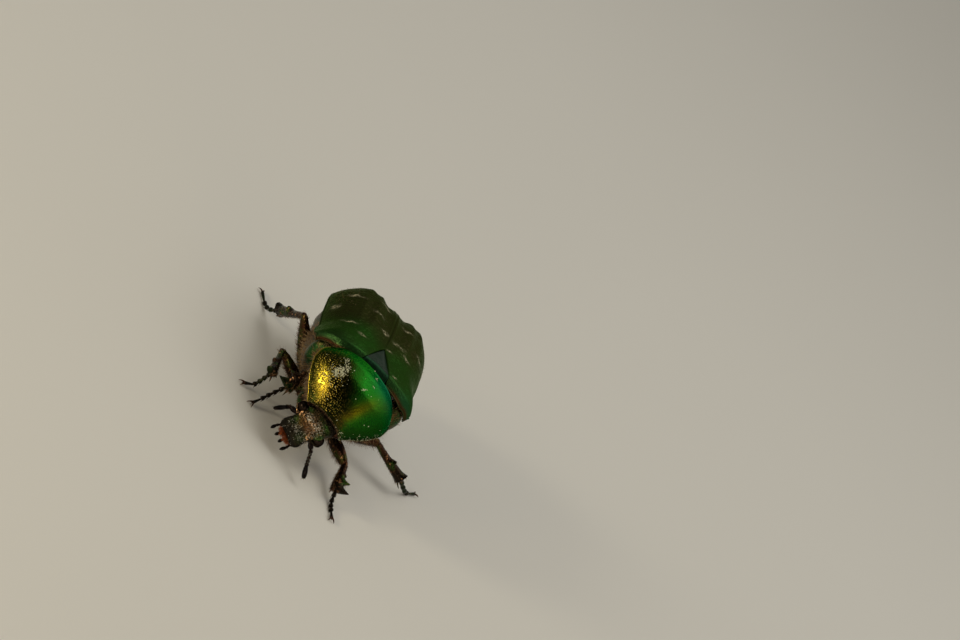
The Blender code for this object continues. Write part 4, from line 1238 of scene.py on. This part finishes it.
LEGS = {
    "fore_left": {
        "coxa": (0.85, -0.9, 2.4), "hip": (1.3, -1.2, 2.1), "knee": (3.45, -2.5, 1.7),
        "ankle": (3.9, -4.6, 0.8), "toes": ((4.15, -5.5, 0.32), (4.4, -6.3, 0.24), (4.65, -7.1, 0.24)),
        "outer": (0.9, -0.2, 0.4), "thick": 1.05,
    },
    "fore_right": {
        "coxa": (-1.75, -0.7, 2.7), "hip": (-2.0, -0.55, 3.0), "knee": (-2.95, 0.2, 4.75),
        "ankle": (-3.6, -0.95, 2.4), "toes": ((-4.0, -1.15, 1.4), (-4.35, -1.5, 0.5), (-4.7, -2.2, 0.24)),
        "outer": (-0.95, 0.1, 0.25), "thick": 1.12,
    },
    "middle_left": {
        "coxa": (1.5, 1.7, 2.0), "hip": (1.95, 1.8, 1.5), "knee": (5.1, 2.7, 2.3),
        "ankle": (8.3, 2.6, 1.45), "toes": ((9.2, 3.3, 0.75), (9.9, 4.1, 0.26), (10.5, 4.9, 0.24)),
        "outer": (0.2, -0.3, 1.0), "thick": 1.12, "femur": 1.35,
    },
    "middle_right": {
        "coxa": (-1.5, 1.7, 2.0), "hip": (-1.95, 1.75, 1.5), "knee": (-5.25, 2.2, 2.8),
        "ankle": (-5.1, -0.6, 2.35), "toes": ((-5.15, -0.5, 1.3), (-5.35, -0.5, 0.45), (-5.95, -0.8, 0.24)),
        "outer": (-1.0, 0.0, 0.4), "thick": 0.95,
    },
    "hind_left": {
        "coxa": (2.0, 4.4, 2.0), "hip": (2.5, 4.6, 1.4), "knee": (5.35, 6.3, 4.2),
        "ankle": (5.9, 9.6, 1.6), "toes": ((6.15, 10.6, 0.65), (6.45, 11.5, 0.26), (6.9, 12.9, 0.24)),
        "outer": (0.7, -0.3, 0.8), "thick": 1.1,
    },
    "hind_right": {
        "coxa": (-2.0, 4.4, 2.0), "hip": (-2.5, 4.6, 1.4), "knee": (-5.3, 6.0, 4.3),
        "ankle": (-6.2, 9.2, 1.6), "toes": ((-6.6, 10.2, 0.65), (-7.0, 11.1, 0.26), (-7.6, 12.4, 0.24)),
        "outer": (-0.7, -0.3, 0.8), "thick": 1.1,
    },
}
COXA_RADII = {"fore": (0.75, 0.7, 0.85), "middle": (0.8, 0.75, 0.7), "hind": (1.3, 0.85, 0.6)}
LEG_PARTS = ("coxa", "femur", "tibia", "tarsus")
# Where the toe's joints end, of 101 points along it
TOE_STOPS = (0, 20, 37, 54, 70, 100)
TOE_RADIUS = 0.17
CLAW_LENGTH = 0.55


def rough_limb(rings, seed, spacing=0.2, depth=0.02):
    """A limb's rings with pits and soft unevenness on them."""
    normal = normals(rings, wrap=True)
    normal *= np.sign(np.sum(normal * (rings - rings.mean(1, keepdims=True)), -1, keepdims=True))
    a, b = lengths(rings)
    relief = 0.012 * waves(rings, 0.7, seed) - depth * pits(a, b, spacing, spacing * 0.36, seed, 0.8)
    relief *= ease(np.linspace(0, 1, len(rings)), 0, 0.06)[:, None]
    return rings + normal * relief[..., None]


def femur_rings(leg):
    hip, knee = np.array(leg["hip"]), np.array(leg["knee"])
    t = crowded(64)
    ahead = unit(knee - hip)
    start = hip - ahead * 0.35
    path = start + (knee + ahead * 0.1 - start) * t[:, None]
    sag = unit(np.cross(ahead, np.cross((0, 0, 1.0), ahead)))
    path = path + sag * (0.10 * np.sin(math.pi * t))[:, None]
    wide = curve((0, 0.24), (0.25, 0.44), (0.5, 0.5), (0.8, 0.38), (0.93, 0.28), (1, 0.3))(t)
    wide = wide * leg.get("femur", leg["thick"]) * round_ends(t, 0.06, 0.08)
    return sweep(path, sag, wide * 0.95, wide * 1.08, wide * 0.78, 44)


def tooth(t, place, rise, fall, height):
    """A pointed tooth on a limb's edge, which leans towards the foot."""
    up = np.clip((t - place + rise) / rise, 0, 1) ** 1.5
    down = np.clip((place + fall - t) / fall, 0, 1) ** 0.8
    return height * np.where(t < place, up, down)


# Half widths of a tibia from the knee to the ankle, and its teeth: place, rise, fall and height
TIBIAE = {
    "fore": {
        "outside": curve((0, 0.22), (0.15, 0.26), (0.5, 0.36), (0.85, 0.48), (1, 0.42)),
        "inside": curve((0, 0.22), (0.15, 0.24), (0.6, 0.38), (0.95, 0.46), (1, 0.4)),
        "height": curve((0, 0.24), (0.2, 0.25), (0.6, 0.27), (1, 0.24)),
        "outer_teeth": ((0.40, 0.10, 0.05, 0.12), (0.64, 0.16, 0.05, 0.44), (0.955, 0.17, 0.045, 0.52)),
        "inner_teeth": (),
    },
    "other": {
        "outside": curve((0, 0.2), (0.12, 0.22), (0.45, 0.27), (0.8, 0.36), (1, 0.42)),
        "inside": curve((0, 0.2), (0.12, 0.22), (0.5, 0.28), (0.85, 0.38), (1, 0.42)),
        "height": curve((0, 0.2), (0.12, 0.22), (0.5, 0.28), (0.85, 0.36), (1, 0.38)),
        "outer_teeth": ((0.58, 0.14, 0.05, 0.24), (0.965, 0.1, 0.035, 0.2)),
        "inner_teeth": ((0.965, 0.1, 0.035, 0.1),),
    },
}


def tibia_rings(name, leg):
    knee, ankle, thick = np.array(leg["knee"]), np.array(leg["ankle"]), leg["thick"]
    shape = TIBIAE["fore" if name.startswith("fore") else "other"]
    t = np.linspace(0, 1, 110) ** 0.95
    ahead = unit(ankle - knee)
    outer = unit(np.array(leg["outer"]) - ahead * np.dot(leg["outer"], ahead))
    path = knee - ahead * 0.12 + (ankle + ahead * 0.12 - knee + ahead * 0.12) * t[:, None]
    path = path - outer * (0.10 * np.sin(math.pi * t) * (1 - t))[:, None]
    outside = shape["outside"](t) + sum(tooth(t, *each) for each in shape["outer_teeth"])
    inside = shape["inside"](t) + sum(tooth(t, *each) for each in shape["inner_teeth"])
    ends = round_ends(t, 0.05, 0.035) * thick
    return sweep(path, outer, outside * ends, inside * ends, shape["height"](t) * ends, 48), outer


def toe_path(leg):
    """The tarsus's line from inside the ankle to the floor, where it lies on its thin joints."""
    toes = [list(toe) for toe in leg["toes"]]
    for toe in toes:
        toe[2] = max(TOE_RADIUS + 0.01, toe[2] - 0.08)
    return smooth_path([leg["ankle"], *toes], 101)


def make_leg(name, leg, material):
    """One leg's skin, its claws and spurs, and the grids that its hair grows on."""
    seed = 60 + 7 * list(LEGS).index(name)
    piece = Piece(name + "_leg", *BRONZE_MASKS)
    coxa = rough_limb(ball(leg["coxa"], np.array(COXA_RADII[name.split("_")[0]]) * 1.04, 52, 34), seed)
    piece.add_loft(coxa, FLOOR)
    hip = np.array(leg["hip"])
    ahead = unit(np.array(leg["knee"]) - hip)
    ends = (hip - ahead * 0.45, hip + ahead * 0.3)
    joint(piece, *ends, (0.3, 0.36, 0.26), FLOOR, sides=32, rows=20, warm=0.3)
    femur = rough_limb(femur_rings(leg), seed + 1)
    t = np.linspace(0, 1, len(femur))[:, None]
    piece.add_loft(femur, FLOOR, warm=0.55 * ease(t, 0.2, 0.9))
    shin, outer = tibia_rings(name, leg)
    shin = rough_limb(shin, seed + 2, 0.17, 0.022)
    t = np.linspace(0, 1, len(shin))[:, None]
    piece.add_loft(shin, FLOOR, dark=0.7 * ease(t, 0.55, 1.0), warm=0.3 * (1 - t))
    path = toe_path(leg)
    for start, stop in zip(TOE_STOPS, TOE_STOPS[1:]):
        last = stop == TOE_STOPS[-1]
        radii = (0.08, 0.10, 0.13, 0.15) if last else (0.09, 0.12, 0.19, 0.2)
        first = path[start] - (path[min(start + 2, 100)] - path[start]) * 0.8
        joint(piece, first, path[stop], radii, FLOOR, flat=0.9, sides=18, rows=18, dark=0.8)
    piece.make(material, "bronze_chitin", [f"{name}_{part}" for part in LEG_PARTS])
    make_claws(name, leg, path, outer, material)
    return {"coxa": coxa, "femur": femur, "shin": shin, "outer": outer}


def make_claws(name, leg, path, outer, material):
    """The claws, the spurs at the end of the tibia and the bristles under the toes."""
    claws = Piece(name + "_claws", *BRONZE_MASKS)
    end, ahead = path[-1], unit(path[-1] - path[-8])
    across = unit(np.cross(ahead, (0, 0, 1.0)))
    for side in (-1, 1):
        root = end - ahead * 0.06 + across * 0.05 * side + np.array((0, 0, 0.03))
        way = ahead + across * 0.55 * side + np.array((0, 0, 0.25))
        line = hook(root, way, (0, 0, -1), CLAW_LENGTH, 0.42, 14)
        line[:, 2] = np.maximum(line[:, 2], 0.02)
        claws.add_loft(tapered(line, 0.075, 12), FLOOR, warm=0.6)
    joint(claws, end - ahead * 0.05, end + ahead * 0.2, (0.05, 0.04, 0.025), FLOOR, sides=10)
    ankle, knee = np.array(leg["ankle"]), np.array(leg["knee"])
    along = unit(ankle - knee)
    flat = np.cross(along, outer)
    for side in (1,) if name.startswith("fore") else (-1, 1):
        root = ankle - along * 0.05 - outer * 0.22 + flat * 0.16 * side
        way = along - outer * 0.45 + flat * 0.25 * side
        line = hook(root, way, outer, 0.75 if side > 0 else 0.55, 0.12, 12)
        line[:, 2] = np.maximum(line[:, 2], 0.06)
        claws.add_loft(tapered(line, 0.085, 10), FLOOR, warm=0.5)
    for start, stop in zip(path[TOE_STOPS[:-2], :], path[TOE_STOPS[1:-1], :]):
        way = unit(stop - start)
        low = unit(np.cross(np.cross(way, (0, 0, -1.0)), way))
        beside = np.cross(way, low)
        for side in (-1, 1):
            root = stop - way * 0.07 + low * 0.12 + beside * 0.07 * side
            line = hook(root, way + low * 0.35 + beside * 0.25 * side, way, 0.22, 0.2, 6)
            line[:, 2] = np.maximum(line[:, 2], 0.012)
            claws.add_loft(tapered(line, 0.028, 6), FLOOR, warm=0.4)
    claws.make(material, "bronze_chitin")


def make_prosternum(material):
    rings = rough_limb(prosternum_rings(), 29, 0.22, 0.02)
    piece = Piece("prosternum_skin", *BRONZE_MASKS)
    # Painted shade at the front socket where the head sits
    piece.add_loft(rings, PROTHORAX, warm=0.35, dark=0.95 * ease(-rings[..., 1], 3.9, 4.4))
    piece.make(material, "bronze_chitin", ["prosternum"])
    return rings


# Hair of each region


def coat_legs(legs, material):
    for name, grids in legs.items():
        leg = LEGS[name]
        coat = Coat(name + "_hair", np.random.default_rng(100 + list(LEGS).index(name)), 2)
        femur, shin = grids["femur"], grids["shin"]
        low = -unit(femur - femur.mean(1, keepdims=True))[..., 2]
        fringe = 0.25 + 2.5 * ease(low, 0.3, 0.9)
        way = np.array(leg["knee"]) - np.array(leg["hip"])
        coat.grow(femur, 300, 0.42, 0.012, FLOOR, way, 0.6, 0.5, 0.2, fringe)
        facing = unit(shin - shin.mean(1, keepdims=True))
        fringe = 0.2 + 2.2 * ease(-np.sum(facing * grids["outer"], -1), 0.3, 0.9)
        way = np.array(leg["ankle"]) - np.array(leg["knee"])
        coat.grow(shin, 260, 0.30, 0.012, FLOOR, way, 0.5, 0.6, 0.2, fringe)
        coat.grow(grids["coxa"], 150, 0.4, 0.013, FLOOR, (0, 0.6, -1), 0.5, 0.6)
        coat.make(material)


def coat_underside(prosternum, thorax, abdomen, pygidium, rng, material):
    coat = Coat("breast_hair", rng, 2)
    low = ease(prosternum.mean(1, keepdims=True)[..., 2] - prosternum[..., 2], -0.9, 0.0)
    low = low * (1 - ease(-prosternum[..., 1], 4.0, 4.5))
    coat.grow(prosternum, 2500, 0.75, 0.014, PROTHORAX, (0, 0.3, -1), 0.5, 0.55, 0.25, low)
    side = ease(-thorax[..., 2], 2.6, 3.6) * (1 - 0.6 * ease(-thorax[..., 2], 5.6, 6.3))
    coat.grow(thorax, 3000, 0.7, 0.014, TRUNK, (0, 1, -0.4), 0.45, 0.6, 0.22, side)
    side = ease(-abdomen[..., 2], 3.0, 4.0)
    coat.grow(abdomen, 900, 0.3, 0.012, TRUNK, (0, 1, -0.1), 0.3, 0.7, 0.12, side)
    coat.grow(pygidium, 420, 0.28, 0.012, TRUNK, (0, 0.3, -1), 0.45, 0.6, 0.2, inside=(0, 9.5, -4.0))
    coat.make(material)


def coat_upper_side(pronotum, thorax, elytra, mesepimera, rng, material):
    coat = Coat("shoulder_hair", rng, 2)
    for skin in mesepimera:
        high = ease(skin[..., 2], -3.9, -2.6)
        coat.grow(skin, 330, 0.34, 0.013, TRUNK, (0, 0.9, 0.5), 0.5, 0.5, 0.25, high)
    x, y, z = (thorax[..., k] for k in range(3))
    gap = ease(np.abs(x), 1.8, 2.6) * ridge(y, 0.2, 0.8) * ease(z, -3.6, -2.4)
    coat.grow(thorax, 700, 0.55, 0.015, TRUNK, (0, 0.4, 1), 0.7, 0.3, 0.25, gap)
    for skin in elytra:
        rows, columns = skin.shape[:2]
        rear = np.zeros((rows, columns))
        rear[int(rows * 0.45):, int(columns * 0.55):] = 1.0
        coat.grow(skin, 260, 0.2, 0.010, TRUNK, (0, 1, -0.3), 0.35, 0.6, 0.15, rear, (0, 6, -4))
    coat.make(material)
    coat = Coat("pronotum_hair", rng, 1)
    margin = np.zeros(pronotum.shape[:2])
    margin[:, :4] = margin[:, -4:] = 1.0
    margin[-5:] = 0.9
    coat.grow(pronotum, 760, 0.13, 0.012, PROTHORAX, (0, -0.3, -1), 0.5, 0.4, 0.25, margin, (0, -2.4, -2.5))
    coat.make(material)


def coat_head(head, materials):
    rng = np.random.default_rng(300)
    x, y, z = (head[..., k] for k in range(3))
    over = ease(z, -0.45, -0.2)
    scales = blob(x, y, (-0.41, -0.48), (0.26, 0.21)) + 0.45 * blob(x, y, (0.55, -0.28), (0.4, 0.35))
    scales = over * (0.03 + scales + 0.10 * ridge(y, -1.6, 0.4)) * (1 - ease(y, 0.2, 0.5))
    coat = Coat("head_hair", rng, 1)
    coat.grow(head, 330, 0.14, 0.015, HEAD, (0, -1, 0.1), 0.35, 0.7, 0.4, scales)
    coat.make(materials["white"])
    below = (1 - over) * (1 - ease(y, 0.2, 0.6)) * ease(y, -2.3, -1.9)
    coat = Coat("chin_hair", rng, 1)
    coat.grow(head, 420, 0.4, 0.012, HEAD, (0, -0.8, -0.6), 0.45, 0.6, 0.25, below)
    coat.make(materials["pale"])
    brush = Coat("mouth_brush", rng, 2)
    for side in (-1, 1):
        lobe = ball((side * 0.28, -2.5, -0.62), (0.3, 0.22, 0.17), 24, 16)
        front = ease(-lobe[..., 1], 2.4, 2.58)
        brush.grow(lobe, 230, 0.36, 0.015, HEAD, (-0.25 * side, -1, 0.1), 0.5, 0.6, 0.3, front)
        cheek = ball((side * 0.52, -2.3, -0.85), (0.25, 0.3, 0.2), 24, 16)
        front = ease(-cheek[..., 1], 2.2, 2.4)
        brush.grow(cheek, 160, 0.34, 0.013, HEAD, (0.1 * side, -1, 0), 0.4, 0.5, 0.25, front)
    brush.make(materials["orange"])
    coat = Coat("antenna_hair", rng, 2)
    for joints in ANTENNA_JOINTS.values():
        root, elbow, neck, tip = (np.array(p) for p in joints)
        for start, stop, radius, count in ((root, elbow, 0.17, 70), (neck, tip, 0.2, 60)):
            path = start + (stop - start) * crowded(16)[:, None]
            rings = sweep(path, (0, 0, 1), radius, radius, radius * 0.8, 16)
            coat.grow(rings, count, 0.16, 0.008, HEAD, stop - start, 0.5, 0.5)
    coat.make(materials["dark"])


# Pollen on the pronotum: centre, spread and number of grains
POLLEN_GROUPS = (
    ((-2.2, -2.35), (0.10, 0.12), 60),
    ((-2.0, -2.1), (0.10, 0.16), 60),
    ((-1.75, -2.35), (0.10, 0.10), 40),
    ((-2.05, -2.6), (0.07, 0.10), 30),
    ((-1.75, -1.8), (0.05, 0.10), 22),
    ((-2.3, -1.15), (0.10, 0.10), 16),
    ((-2.0, -1.5), (0.08, 0.12), 16),
    ((0.0, -2.2), (0.03, 0.03), 9),
    ((0.1, -2.08), (0.03, 0.03), 12),
    ((0.2, -1.96), (0.03, 0.02), 9),
    ((0.3, -1.84), (0.02, 0.02), 5),
    ((0.5, -1.2), (0.03, 0.04), 6),
    ((0.25, -0.5), (0.04, 0.05), 6),
    ((0.0, -2.4), (2.4, 1.8), 24),
    ((-2.0, -2.3), (0.45, 0.5), 60),
    ((1.8, -4.75), (0.3, 0.1), 16),
    ((2.6, -4.0), (0.2, 0.3), 18),
    ((3.2, -3.2), (0.2, 0.3), 18),
    ((3.6, -2.4), (0.1, 0.3), 12),
)


def make_dust(pronotum, material):
    """Pollen grains on the pronotum, and pale grains on the left antenna."""
    rng = np.random.default_rng(400)
    piece = Piece("pollen_specks")
    x, y = pronotum[..., 0], pronotum[..., 1]
    normal = outward(pronotum, 2)
    for centre, spread, count in POLLEN_GROUPS:
        for _ in range(count):
            px, py = rng.normal(centre, spread)
            k = np.argmin((x - px) ** 2 + (y - py) ** 2)
            spot, up = pronotum.reshape(-1, 3)[k], normal.reshape(-1, 3)[k]
            size = rng.uniform(0.018, 0.05)
            grain = ball((0, 0, 0), (size, size * rng.uniform(0.6, 1.2), size * 0.5), 8, 6)
            grain = grain * (1 + 0.25 * waves(grain * 30, 1.0, int(rng.integers(1e6))))[..., None]
            side = unit(np.cross(up, rng.normal(size=3)))
            turn = np.stack([side, np.cross(up, side), up])
            piece.add_loft(grain @ turn + spot + up * size * 0.15, PROTHORAX)
    # Pale grains along the left antenna's funicle and club
    _, elbow, neck, tip = (np.array(p) for p in ANTENNA_JOINTS["left"])
    for start, stop, radius, count in ((elbow, neck, 0.13, 22), (neck, tip, 0.10, 8)):
        for _ in range(count):
            middle = start + (stop - start) * rng.random()
            way = unit(rng.normal((0, -0.2, 1.0), 0.6))
            way = unit(way - unit(stop - start) * np.dot(way, unit(stop - start)))
            size = rng.uniform(0.012, 0.030)
            piece.add_loft(ball(middle + way * radius, (size, size, size), 8, 6), HEAD)
    piece.make(material)


# Studio

FLOOR_REACH = 3.0
# Soft boxes: azimuth and elevation, distance and size, radiance, and colour
LIGHTS = {
    "gold_key": (-66, 15, 200, 32, 30.0, (1.0, 0.90, 0.66)),
    "top_soft": (105, 55, 200, 170, 0.70, (1.0, 0.97, 0.90)),
    "overhead": (170, 72, 240, 150, 0.95, (1.0, 0.97, 0.88)),
    "gold_low": (-49, 17, 200, 34, 8.0, (1.0, 0.80, 0.50)),
    "head_fill": (-14, 6, 180, 24, 12.0, (1.0, 0.90, 0.72)),
    "front_warm": (35, 14, 200, 90, 1.0, (1.0, 0.80, 0.52)),
}
# The world dims across two ways: azimuth and elevation, then the facing and the strength at each end
WORLD_FALLS = (((110, 45), (-0.7, 1.0, 0.12, 0.40)), ((-24, 44), (0.70, 0.95, 1.0, 0.2)))


def make_stage():
    mesh = bpy.data.meshes.new("floor")
    corners = ((-1, -1), (1, -1), (1, 1), (-1, 1))
    mesh.from_pydata([(FLOOR_REACH * x, FLOOR_REACH * y, 0) for x, y in corners], [], [(0, 1, 2, 3)])
    look = Look("floor_pale", {"Roughness": 0.75})
    mesh.materials.append(look.finish(look.mix(look.noise(60.0), *FLOOR_COLOURS)))
    floor = bpy.data.objects.new("floor", mesh)
    bpy.context.scene.collection.objects.link(floor)


def direction(azimuth, elevation):
    """Azimuth 0 is in front of the beetle and 90 is on its left."""
    a, e = math.radians(azimuth), math.radians(elevation)
    return Vector((math.sin(a) * math.cos(e), -math.cos(a) * math.cos(e), math.sin(e)))


def make_light(name, azimuth, elevation, distance, size, radiance, colour):
    """A square soft box that faces the beetle, with its distance and size in millimetres."""
    light = bpy.data.lights.new(name, "AREA")
    light.shape, light.size, light.color = "SQUARE", size * MM, colour
    light.energy = radiance * math.pi * (size * MM) ** 2
    obj = bpy.data.objects.new(name, light)
    way = direction(azimuth, elevation)
    obj.location = (Vector((0, -2, 5)) + way * distance) * MM
    obj.rotation_mode = "QUATERNION"
    obj.rotation_quaternion = way.to_track_quat("Z", "Y")
    bpy.context.scene.collection.objects.link(obj)


def make_world():
    """Even, warm light that dims towards the beetle's front right, where the camera stands."""
    world = bpy.data.worlds.new("studio")
    world.use_nodes = True
    nodes, links = world.node_tree.nodes, world.node_tree.links
    spot = nodes.new("ShaderNodeTexCoord")
    strength = None
    for way, span in WORLD_FALLS:
        facing = nodes.new("ShaderNodeVectorMath")
        facing.operation = "DOT_PRODUCT"
        facing.inputs[1].default_value = direction(*way)
        links.new(spot.outputs["Generated"], facing.inputs[0])
        fall = nodes.new("ShaderNodeMapRange")
        for socket, value in zip(fall.inputs[1:5], span):
            socket.default_value = value
        links.new(facing.outputs["Value"], fall.inputs[0])
        if strength is None:
            strength = fall.outputs[0]
        else:
            both = nodes.new("ShaderNodeMath")
            both.operation = "MULTIPLY"
            links.new(strength, both.inputs[0])
            links.new(fall.outputs[0], both.inputs[1])
            strength = both.outputs[0]
    back = nodes["Background"]
    back.inputs["Color"].default_value = (1.0, 0.965, 0.88, 1.0)
    links.new(strength, back.inputs["Strength"])
    bpy.context.scene.world = world


def make_camera():
    camera = bpy.data.cameras.new("camera")
    camera.lens, camera.sensor_width = CAMERA_LENS, 36.0
    camera.clip_start, camera.clip_end = 0.01, 20.0
    obj = bpy.data.objects.new("camera", camera)
    turn = Matrix((CAMERA_RIGHT, CAMERA_UP, CAMERA_BACK)).transposed()
    obj.matrix_world = shifted((Vector(CAMERA_PLACE) + Vector(CENTRE_SHIFT)) * MM) @ turn.to_4x4()
    bpy.context.scene.collection.objects.link(obj)
    bpy.context.scene.camera = obj


def main():
    bpy.context.scene.view_settings.view_transform = "Standard"
    make_camera()
    make_stage()
    make_world()
    for name, light in LIGHTS.items():
        make_light(name, *light)

    bronze = bronze_look("bronze_body")
    side_green = bronze_look("green_sides")
    leg_bronze = bronze_look("bronze_legs")
    black, eye, wing = black_look(), eye_look(), elytra_look()
    hair = {kind: hair_look(kind) for kind in HAIRS}

    pronotum = make_pronotum(pronotum_look())
    prosternum = make_prosternum(bronze)
    elytra = [make_elytron(name, side, wing) for name, side in SIDES.items()]
    make_scutellum(slate_look())
    thorax, abdomen, pygidium = make_thorax(bronze), make_abdomen(bronze), make_pygidium(bronze)
    mesepimera = [make_mesepimeron(name, side, side_green) for name, side in SIDES.items()]
    head = make_head(head_look())
    for name, side in SIDES.items():
        make_eye(name, side, eye)
        make_antenna(name, black)
    for name in PALPS:
        make_palp(name, black)
    make_mouthparts(bronze_look("mouth_orange"))
    legs = {name: make_leg(name, leg, leg_bronze) for name, leg in LEGS.items()}
    coat_legs(legs, hair["brown"])
    rng = np.random.default_rng(200)
    coat_underside(prosternum, thorax, abdomen, pygidium, rng, hair["pale"])
    coat_upper_side(pronotum, thorax, elytra, mesepimera, rng, hair["pale"])
    coat_head(head, hair)
    make_dust(pronotum, dust_look())


main()
